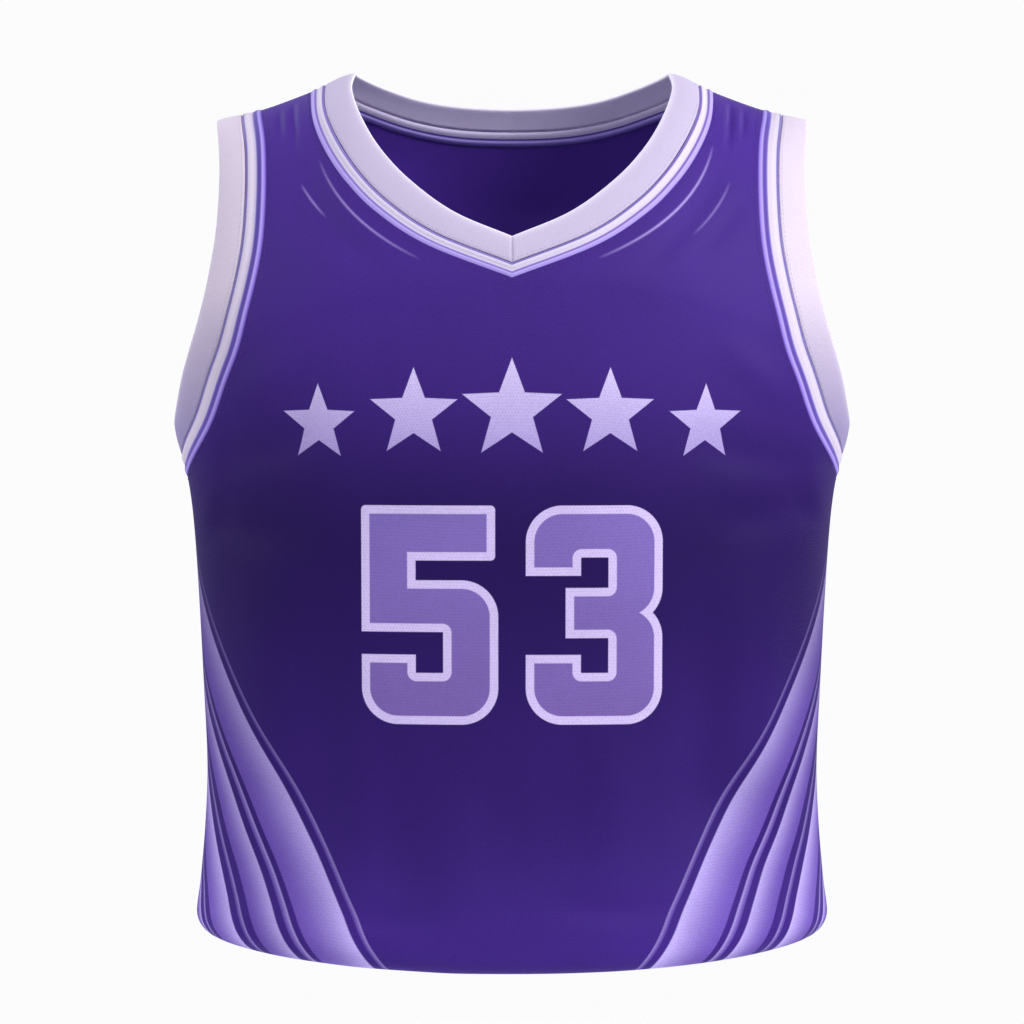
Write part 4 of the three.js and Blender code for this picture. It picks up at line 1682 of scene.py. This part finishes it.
@dataclass
class OpeningStrip:
    """A band or tape round an opening, as a closed section carried along it."""

    opening: Opening
    hand: Hand | None
    spacing: float = 0.0030
    mitre_sink: float = 0.55
    mitre_run: float = 0.28

    def stations(self) -> list[tuple[Edging, np.ndarray, int]]:
        """The stretches of the opening in order, each with its shares and its hand's sign.

        Returns:
            The edging, the shares and the sign of each stretch.
        """
        front, back = EDGINGS[self.opening, Side.FRONT], EDGINGS[self.opening, Side.BACK]
        lengths = []
        for edging in (front, back):
            points = FORM.point(edging.side.value, *edging.edge(edging.seam, np.linspace(0, 1, 100)))
            lengths.append(np.linalg.norm(np.diff(points, axis=0), axis=1).sum())
        counts = [round(length / self.spacing) for length in lengths]
        up_front = front.even_shares(1.0, 0.0, counts[0])
        down_back = back.even_shares(0.0, 1.0, counts[1])
        if self.opening is Opening.ARMHOLE:
            sign = self.hand.value
            return [(front, up_front, sign), (back, down_back[1:-1], sign)]
        return [
            (front, up_front, 1), (back, down_back[1:], 1),
            (back, down_back[::-1][1:], -1), (front, up_front[::-1][1:], -1),
        ]

    def lay(self, profile: Sequence[ProfilePoint]) -> Places:
        """Carries a section along the opening.

        Args:
            profile: the section's points.

        Returns:
            The points, a row for each station, and the directions out from the cloth.
        """
        keys = ("part", "past", "lift")
        part, past, lift = (np.array([getattr(p, key) for p in profile])[None] for key in keys)
        points, normals = [], []
        for edging, shares, sign in self.stations():
            turn, height = edging.at(shares[:, None], part, past)
            side = np.full(turn.shape, float(edging.side.value))
            point = FORM.point(side, turn, height)
            outward = FORM.normal(side, turn, height)
            relief = FORM.relief(side, point[..., 0] * sign, height)
            point = point + outward * (lift + relief)[..., None]
            mirror = np.array([sign, 1, 1])
            points.append(point * mirror)
            normals.append(outward * mirror)
        return np.concatenate(points), np.concatenate(normals)

    def build(
        self, name: str, profile: Sequence[ProfilePoint], material: Material, mitred: bool
    ) -> Piece:
        """Builds the strip.

        Args:
            name: the object's name.
            profile: its section, in order round it.
            material: its material.
            mitred: whether its ends meet in a seam at the start instead of running on.

        Returns:
            The strip's object.
        """
        points, normals = self.lay(profile)
        if mitred:
            raised = np.array([max(p.lift, 0) for p in profile])[:, None]
            ends = [points[i] - normals[i] * raised * self.mitre_sink for i in (0, -1)]
            shoulders = [
                points[i] + (points[i + way] - points[i]) * self.mitre_run for i, way in ((0, 1), (-1, -1))
            ]
            points = np.concatenate([[ends[0], shoulders[0]], points[1:-1], [shoulders[1], ends[1]]])
        looped = np.concatenate([points, points[:, :1]], axis=1)
        if not mitred:
            looped = np.concatenate([looped, looped[:1]])
        run = lengths_along(looped, 0)[:, :1] * np.ones((1, looped.shape[1]))
        rise = lengths_along(looped, 1)
        marks = {"run": run, "rise": rise}
        for key in ("across", "fold", "inner"):
            values = np.array([getattr(p, key) for p in (*profile, profile[0])])
            marks[key] = np.broadcast_to(values[None], looped.shape[:2])
        return closed_strip(name, looped, marks, material)


@dataclass(frozen=True)
class FoldedBand:
    """A band of rib folded double: its fold is the free edge of an opening."""

    opening: Opening
    hand: Hand | None
    wall: float = 0.0024
    crown: float = 0.0005

    def profile(self) -> list[ProfilePoint]:
        """The band's section: out along the outer layer, round the fold and back along the inner one.

        Returns:
            The section's points, in order.
        """
        tape = TAPE_SHARE[self.opening]
        radius = self.wall / 2
        points = []
        # fold marks the painted highlight on the outer layer near the fold and round it; inner marks the
        # inner face
        for share in (0.0, 0.02, *np.linspace(0.1, 1, 9)):
            crown = self.crown * math.sin(math.pi * share) - 0.0003 * (share == 0)
            past = 0.0004 * (1 - share) - radius * share
            part = tape + (1 - tape) * share
            points.append(ProfilePoint(part, past, radius + crown, fold=0.5 * share**12))
        for step in range(1, 6):
            angle = math.pi / 2 - math.pi * step / 6
            past = radius * (math.cos(angle) - 1)
            points.append(ProfilePoint(1, past, radius * math.sin(angle), fold=1.0 if step < 4 else 0.4))
        for share in np.linspace(1, 0, 8):
            past = 0.0004 * (1 - share) - radius * share
            points.append(ProfilePoint(tape + (1 - tape) * share, past, -radius, inner=1.0))
        return points

    def build(self, name: str, material: Material) -> Piece:
        """Builds the band under the given name."""
        strip = OpeningStrip(self.opening, self.hand)
        return strip.build(name, self.profile(), material, self.opening is Opening.NECK)


@dataclass(frozen=True)
class WovenTape:
    """A striped tape that laps onto both faces of the panel and meets the band, with raised lines."""

    opening: Opening
    hand: Hand | None
    lap: float = 0.0012
    columns: int = 24
    raised: tuple[tuple[float, float, float], ...] = ((0.78, 0.22, 0.0007), (0.24, 0.16, 0.0006))

    def profile(self) -> list[ProfilePoint]:
        """The tape's section: across its outer face towards the band, and back along its inner face.

        Returns:
            The section's points, in order.
        """
        tape = TAPE_SHARE[self.opening]
        points = []
        for share in np.linspace(0, 1, self.columns):
            ridge = sum(high * max(0.0, 1 - ((share - mid) / half) ** 2) for mid, half, high in self.raised)
            edge = 0.0004 * (share in (0, 1))
            past = -self.lap * (1 - share) - 0.0001 * share
            points.append(ProfilePoint(tape * share, past, 0.0009 + ridge - edge, across=share))
        inner = (
            (1.0, -0.0012), (0.7, -0.0012), (0.42, -0.0012), (0.36, -0.0008), (0.18, -0.0013), (0.0, -0.0013),
        )
        for share, lift in inner:
            past = -0.0001 if share else -0.0030
            points.append(ProfilePoint(tape * share, past, lift, across=share, inner=1.0))
        return points

    def build(self, name: str, material: Material) -> Piece:
        """Builds the tape under the given name."""
        return OpeningStrip(self.opening, self.hand).build(name, self.profile(), material, False)


@dataclass(frozen=True)
class Seam:
    """A seam between the two panels. Its trimmed edges lie inside, pressed towards the back."""

    hand: Hand
    section: tuple[tuple[float, float], ...] = (
        (0.0003, -0.0006), (0.0003, -0.0017), (0.0062, -0.0017), (0.0070, -0.0012), (0.0062, -0.0007),
    )

    def places(self, side: Side, away: float) -> Places:
        """Finds the turns and heights of a line that runs along the seam, on one side and away from it."""
        raise NotImplementedError

    def line(self, side: Side, away: float, lift: float) -> Places:
        """Finds the points of such a line, lifted off the cloth, and the directions out from it.

        Args:
            side: the side of the seam.
            away: metres from the seam.
            lift: metres off the cloth.

        Returns:
            The points and the directions.
        """
        turn, height = self.places(side, away)
        sides = np.full(turn.shape, float(side.value))
        outward = FORM.normal(sides, turn, height)
        mirror = np.array([self.hand.value, 1, 1])
        return (FORM.point(sides, turn, height) + outward * lift) * mirror, outward * mirror

    def build(self, name: str, material: Material) -> Piece:
        """Builds the trimmed edges under the given name.

        Args:
            name: the object's name.
            material: its material.

        Returns:
            The object.
        """
        rows = [self.line(Side.BACK, away, lift)[0] for away, lift in (*self.section, self.section[0])]
        points = np.stack(rows, axis=1)
        marks = {"run": lengths_along(points, 0), "rise": lengths_along(points, 1)}
        return closed_strip(name, points, marks, material)


class SideSeam(Seam):
    """The seam from the hem up to the underarm."""

    def places(self, side: Side, away: float) -> Places:
        """Finds the line's turns and heights.

        Args:
            side: the side of the seam.
            away: metres from the seam.

        Returns:
            The turns and heights.
        """
        height = np.linspace(-0.574, UNDERARM_HEIGHT - 0.0015, 100)
        turn = np.linspace(90, 55, 80)
        lengths = lengths_along(FORM.point(side.value, turn[None], height[:, None]), 1)
        return np.array([np.interp(away, row, turn) for row in lengths]), height


class ShoulderSeam(Seam):
    """The seam along a strap's top, from the neckline out to the armhole."""

    def places(self, side: Side, away: float) -> Places:
        """Finds the line's turns and heights.

        Args:
            side: the side of the seam.
            away: metres from the seam.

        Returns:
            The turns and heights.
        """
        ends = []
        for edging in (EDGINGS[Opening.NECK, side], EDGINGS[Opening.ARMHOLE, side]):
            shares = np.linspace(0, 0.2, 200)
            depths = np.abs(FORM.point(side.value, *edging.at(shares, 0.0, 0.0))[:, 1])
            ends.append(edging.at(np.interp(away, depths, shares), 0.0, -0.0015))
        return FORM.between(*ends, np.linspace(0, 1, 60))


@dataclass
class StitchLine:
    """A run of short stitches that lie on the cloth, made as one mesh."""

    name: str
    length: float = 0.0024
    gap: float = 0.0008
    half_thickness: float = 0.00026

    def _stitch(
        self, bm: bmesh.types.BMesh, start: np.ndarray, end: np.ndarray, outward: np.ndarray
    ) -> None:
        """Adds one stitch between two points.

        Args:
            bm: the mesh of all stitches.
            start: where the stitch starts.
            end: where it ends.
            outward: the direction out from the cloth.
        """
        along = Vector(end - start)
        up = Vector(outward).normalized()
        across = along.cross(up).normalized()
        up = across.cross(along).normalized()
        turned = Matrix((along.normalized(), across, up)).transposed().to_4x4()
        size = Matrix.Diagonal((along.length / 2, self.half_thickness, self.half_thickness, 1))
        place = Matrix.Translation(Vector((start + end) / 2))
        bmesh.ops.create_icosphere(bm, subdivisions=1, radius=1.0, matrix=place @ turned @ size)

    def build(self, lines: Sequence[Places], material: Material) -> Piece:
        """Builds the stitches.

        Args:
            lines: for each line its points, close together, and the directions out from the cloth.
            material: the thread's material.

        Returns:
            The stitches' object.
        """
        bm = bmesh.new()
        for points, normals in lines:
            steps = np.linalg.norm(np.diff(points, axis=0), axis=1)
            lengths = np.concatenate([[0], np.cumsum(steps)])
            count = max(int(lengths[-1] / (self.length + self.gap)), 1)
            starts = np.arange(count) * lengths[-1] / count
            for begin in starts:
                ends = [
                    np.array([np.interp(at, lengths, points[:, axis]) for axis in range(3)])
                    for at in (begin, begin + self.length)
                ]
                outward = np.array([np.interp(begin, lengths, normals[:, axis]) for axis in range(3)])
                self._stitch(bm, *ends, outward)
        return mesh_object(bm, self.name, [material])


@dataclass
class Sewing:
    """The rows of stitches beside tapes and shoulder seams, on the trimmed edges and inside the hem."""

    strips: tuple[tuple[Opening, Hand | None], ...] = (
        (Opening.NECK, None), (Opening.ARMHOLE, Hand.LEFT), (Opening.ARMHOLE, Hand.RIGHT),
    )

    def beside_tapes(self, part_of_band: bool, past: float, lift: float) -> list[Places]:
        """Finds lines that follow each tape, on its band or on the panels.

        Args:
            part_of_band: whether they lie on the bands.
            past: metres from the tape's edge, towards the opening.
            lift: metres off the cloth.

        Returns:
            The points and directions of each line.
        """
        lines = []
        for opening, hand in self.strips:
            point = ProfilePoint(TAPE_SHARE[opening] if part_of_band else 0.0, past, lift)
            points, normals = OpeningStrip(opening, hand).lay([point])
            lines.append((points[:, 0], normals[:, 0]))
        return lines

    def beside_seams(self, seams: Sequence[Seam]) -> list[Places]:
        """Finds two lines on each seam's trimmed edges and, at a shoulder, one on each side of it.

        Args:
            seams: the side and shoulder seams.

        Returns:
            The points and directions of each line.
        """
        lines = []
        for seam in seams:
            for away in (0.0016, 0.0052):
                points, normals = seam.line(Side.BACK, away, -0.0018)
                lines.append((points, -normals))
            if isinstance(seam, ShoulderSeam):
                lines += [seam.line(side, 0.0030, 0.0004) for side in Side]
        return lines

    def inside_hem(self, panel: ClothPanel) -> Places:
        """Finds a line along the lip that is turned up inside a panel.

        Args:
            panel: the panel.

        Returns:
            The line's points and directions.
        """
        turn = np.linspace(-89.5, 89.5, 500)
        height = FORM.hem_top(panel.side, turn)
        rolled = np.full(turn.shape, math.pi)
        lip, base = (panel.lay(turn, height, rolled, np.full(turn.shape, lift)) for lift in (0.007, 0.0))
        rise = lip - base
        inward = -FORM.normal(np.full(turn.shape, float(panel.side.value)), turn, height)
        inward -= rise * (inward * rise).sum(1, keepdims=True) / (rise**2).sum(1, keepdims=True)
        return lip + inward * 0.0006, inward


class Studio:
    """A pale floor, white surroundings, soft lights and the camera."""

    FLOOR_HEIGHT = -0.80
    FLOOR_RADIUS = 0.85
    CAMERA_LENS = 135.0
    FRAME_HEIGHT = 0.70
    CAMERA_RISE = 2.5
    LIGHT_AIM = -0.30

    def floor(self) -> None:
        """Makes the round floor, below what the camera sees. From underneath it is clear."""
        bm = bmesh.new()
        bmesh.ops.create_circle(bm, cap_ends=True, segments=96, radius=self.FLOOR_RADIUS)
        bmesh.ops.translate(bm, verts=bm.verts, vec=(0, 0, self.FLOOR_HEIGHT))
        mesh = bpy.data.meshes.new("studio_floor")
        bm.to_mesh(mesh)
        bm.free()
        material, maker, shader = new_material("pale_floor")
        above = maker.math("SUBTRACT", 1.0, maker.add("ShaderNodeNewGeometry").outputs["Backfacing"])
        maker.give(shader, {"Alpha": above, "Base Color": (0.86, 0.86, 0.88, 1), "Roughness": 0.8})
        mesh.materials.append(material)
        floor = bpy.data.objects.new("studio_floor", mesh)
        bpy.context.scene.collection.objects.link(floor)

    def surroundings(self) -> None:
        """Makes the world white to the camera and dimmer as a light."""
        world = bpy.data.worlds.new("studio")
        bpy.context.scene.world = world
        world.use_nodes = True
        maker = NodeMaker(world.node_tree)
        output = next(node for node in world.node_tree.nodes if node.type == "OUTPUT_WORLD")
        seen = maker.add("ShaderNodeBackground", {"Color": (0.97, 0.97, 0.98, 1), "Strength": 1.0})
        lit = maker.add("ShaderNodeBackground", {"Color": (0.90, 0.90, 1.0, 1), "Strength": 0.34})
        path = maker.add("ShaderNodeLightPath").outputs["Is Camera Ray"]
        mixed = maker.add("ShaderNodeMixShader", {0: path, 1: lit.outputs[0], 2: seen.outputs[0]})
        maker.give(output, {"Surface": mixed.outputs[0]})

    def light(
        self, name: str, place: tuple[float, float, float], size: float, power: float, tint: Colour
    ) -> None:
        """Adds a soft square light that faces the jersey.

        Args:
            name: the light's name.
            place: where it stands.
            size: the length of its sides.
            power: its power in watts.
            tint: its colour.
        """
        data = bpy.data.lights.new(name, "AREA")
        data.size = size
        data.energy = power
        data.color = tint[:3]
        lamp = bpy.data.objects.new(name, data)
        lamp.location = place
        aim = Vector((0, 0, self.LIGHT_AIM)) - Vector(place)
        lamp.rotation_euler = aim.to_track_quat("-Z", "Y").to_euler()
        bpy.context.scene.collection.objects.link(lamp)

    def lights(self) -> None:
        """Adds a key from the upper right, two fills from the left and two lights from behind."""
        self.light("key", (2.0, -1.5, 1.0), 1.0, 68, (1.0, 0.98, 1.0, 1))
        self.light("fill", (-0.6, -2.4, 1.2), 1.4, 13, (0.94, 0.93, 1.0, 1))
        self.light("edge", (-2.3, -0.3, 0.7), 1.0, 23, (0.96, 0.94, 1.0, 1))
        self.light("back_right", (1.7, 1.6, 0.6), 1.0, 26, (1.0, 0.97, 1.0, 1))
        self.light("back_left", (-1.7, 1.6, 0.9), 1.0, 26, (0.95, 0.95, 1.0, 1))

    def camera(self) -> None:
        """Adds a level long-lens camera in front of the jersey."""
        data = bpy.data.cameras.new("camera")
        data.lens = self.CAMERA_LENS
        camera = bpy.data.objects.new("camera", data)
        away = self.FRAME_HEIGHT / 2 / (data.sensor_width / 2 / data.lens)
        rise = math.radians(self.CAMERA_RISE)
        middle = Vector((0, 0, (CAD_BOX[0].z + CAD_BOX[1].z) / 2))
        camera.location = middle + Vector((0, -math.cos(rise), math.sin(rise))) * away
        camera.rotation_euler = (middle - camera.location).to_track_quat("-Z", "Y").to_euler()
        bpy.context.scene.collection.objects.link(camera)
        bpy.context.scene.camera = camera

    def build(self) -> None:
        """Builds the whole studio."""
        self.floor()
        self.surroundings()
        self.lights()
        self.camera()
        bpy.context.scene.view_settings.view_transform = "Standard"


NECK_STRIPES: tuple[tuple[float, Colour], ...] = (
    (0.00, (0.050, 0.020, 0.230, 1)), (0.04, (0.400, 0.310, 0.840, 1)), (0.26, (0.520, 0.420, 0.880, 1)),
    (0.31, (0.230, 0.160, 0.540, 1)), (0.40, (0.230, 0.170, 0.520, 1)), (0.46, (0.680, 0.620, 0.780, 1)),
    (0.82, (0.740, 0.690, 0.840, 1)), (0.87, (0.220, 0.170, 0.500, 1)), (0.96, (0.240, 0.180, 0.560, 1)),
    (1.00, (0.500, 0.430, 0.700, 1)),
)
ARMHOLE_STRIPES: tuple[tuple[float, Colour], ...] = (
    (0.00, (0.040, 0.014, 0.200, 1)), (0.08, (0.310, 0.205, 0.780, 1)), (0.17, (0.480, 0.390, 0.890, 1)),
    (0.24, (0.110, 0.062, 0.390, 1)), (0.37, (0.100, 0.055, 0.370, 1)), (0.43, (0.220, 0.170, 0.520, 1)),
    (0.48, (0.620, 0.560, 0.740, 1)), (0.66, (0.760, 0.680, 0.810, 1)), (0.84, (0.660, 0.610, 0.760, 1)),
    (0.89, (0.180, 0.150, 0.460, 1)), (0.96, (0.190, 0.150, 0.480, 1)), (1.00, (0.500, 0.440, 0.700, 1)),
)

SIDE_BARS: tuple[SideBar, ...] = (
    SideBar(-0.300, 0.0014, 0.55), SideBar(-0.338, 0.0145, 1.00), SideBar(-0.376, 0.0020, 0.75),
    SideBar(-0.406, 0.0090, 0.90), SideBar(-0.437, 0.0016, 0.60), SideBar(-0.472, 0.0115, 1.00),
    SideBar(-0.508, 0.0016, 0.70), SideBar(-0.534, 0.0064, 0.85), SideBar(-0.558, 0.0014, 0.60),
)
FRONT_PRINT = PanelPrint(
    PrintedNumber("53", -0.360, 0.144, 0.018), StarRow(-0.226, 0.064, 0.034, 0.004, 0.0022), SIDE_BARS
)
BACK_PRINT = PanelPrint(
    PrintedNumber("53", -0.312, 0.199, 0.022), StarRow(-0.150, 0.054, 0.026, 0.002, 0.0), SIDE_BARS
)


def report(piece: Piece) -> None:
    """Logs that a piece is built."""
    LOG.info("built %s with %d faces", piece.name, len(piece.data.polygons))


def main() -> None:
    """Builds the jersey, dresses it and sets up the studio."""
    effects = ClothEffects()
    knit = PanelKnit(effects)
    inside = knit.inside_material()
    front_knit = knit.material("front_knit", FRONT_PRINT, 1)
    back_knit = knit.material("back_knit", BACK_PRINT, -1)
    # The neck band's pale is darker than the armhole bands': painted shade on the collar
    neck_rib = BandRib(effects, (0.575, 0.510, 0.690, 1)).material("neck_rib")
    # The armhole bands' painted highlight along the fold is kept close to their pale colour
    arm_rib = BandRib(effects, (0.700, 0.620, 0.735, 1), fold=(0.700, 0.630, 0.760, 1))
    arm_rib = arm_rib.material("armhole_rib")
    neck_stripes = StripeTape(effects, NECK_STRIPES).material("neck_tape_stripes")
    arm_stripes = StripeTape(effects, ARMHOLE_STRIPES).material("armhole_tape_stripes")
    purple = SewingThread(effects, (0.060, 0.028, 0.240, 1)).material("purple_thread")
    lilac = SewingThread(effects, (0.640, 0.560, 0.780, 1)).material("lilac_thread")

    panels = ClothPanel(Side.FRONT), ClothPanel(Side.BACK, chest_rows=66, strap_rows=34, strap_start=0.175)
    front, back = (panel.build(knit, inside) for panel, knit in zip(panels, (front_knit, back_knit)))
    for piece, node, area in ((front, "front_panel", 0.27), (back, "back_panel", 0.285)):
        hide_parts(node)
        report(piece)

    neck_band = FoldedBand(Opening.NECK, None).build("neck_band_rib", neck_rib)
    neck_tape = WovenTape(Opening.NECK, None).build("neck_tape", neck_stripes)
    strips = [
        (neck_band, "collar_band", "band_rib", (0.80, 0.022)),
        (neck_tape, "collar_trim", "striped_tape", (0.86, 0.0115)),
    ]
    for hand in Hand:
        label = hand.name.lower()
        band = FoldedBand(Opening.ARMHOLE, hand).build(f"armhole_band_rib_{label}", arm_rib)
        tape = WovenTape(Opening.ARMHOLE, hand).build(f"armhole_tape_{label}", arm_stripes)
        strips.append((band, f"armhole_band_{label}", "band_rib", (0.60, 0.0235)))
        strips.append((tape, f"armhole_trim_{label}", "striped_tape", (0.66, 0.0165)))
    for piece, node, slot, flat in strips:
        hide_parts(node)
        report(piece)

    sewing = Sewing()
    kinds = (SideSeam, ShoulderSeam)
    seams = {f"{kind.__name__}_{hand.name}".lower(): kind(hand) for kind in kinds for hand in Hand}
    for name, seam in seams.items():
        piece = seam.build(name, inside)
        report(piece)
    on_panels = sewing.beside_tapes(False, -0.0034, 0.0006) + sewing.beside_seams(list(seams.values()))
    on_panels += [sewing.inside_hem(panel) for panel in panels]
    on_bands = sewing.beside_tapes(True, 0.0022, 0.0013)
    for line, paths, thread, slot in (
        ("panel_stitches", on_panels, purple, "panel_knit"),
        ("band_stitches", on_bands, lilac, "band_rib"),
    ):
        piece = StitchLine(line).build(paths, thread)
        report(piece)

    Studio().build()


if __name__ == "__main__":
    logging.basicConfig(level=logging.INFO)
    main()
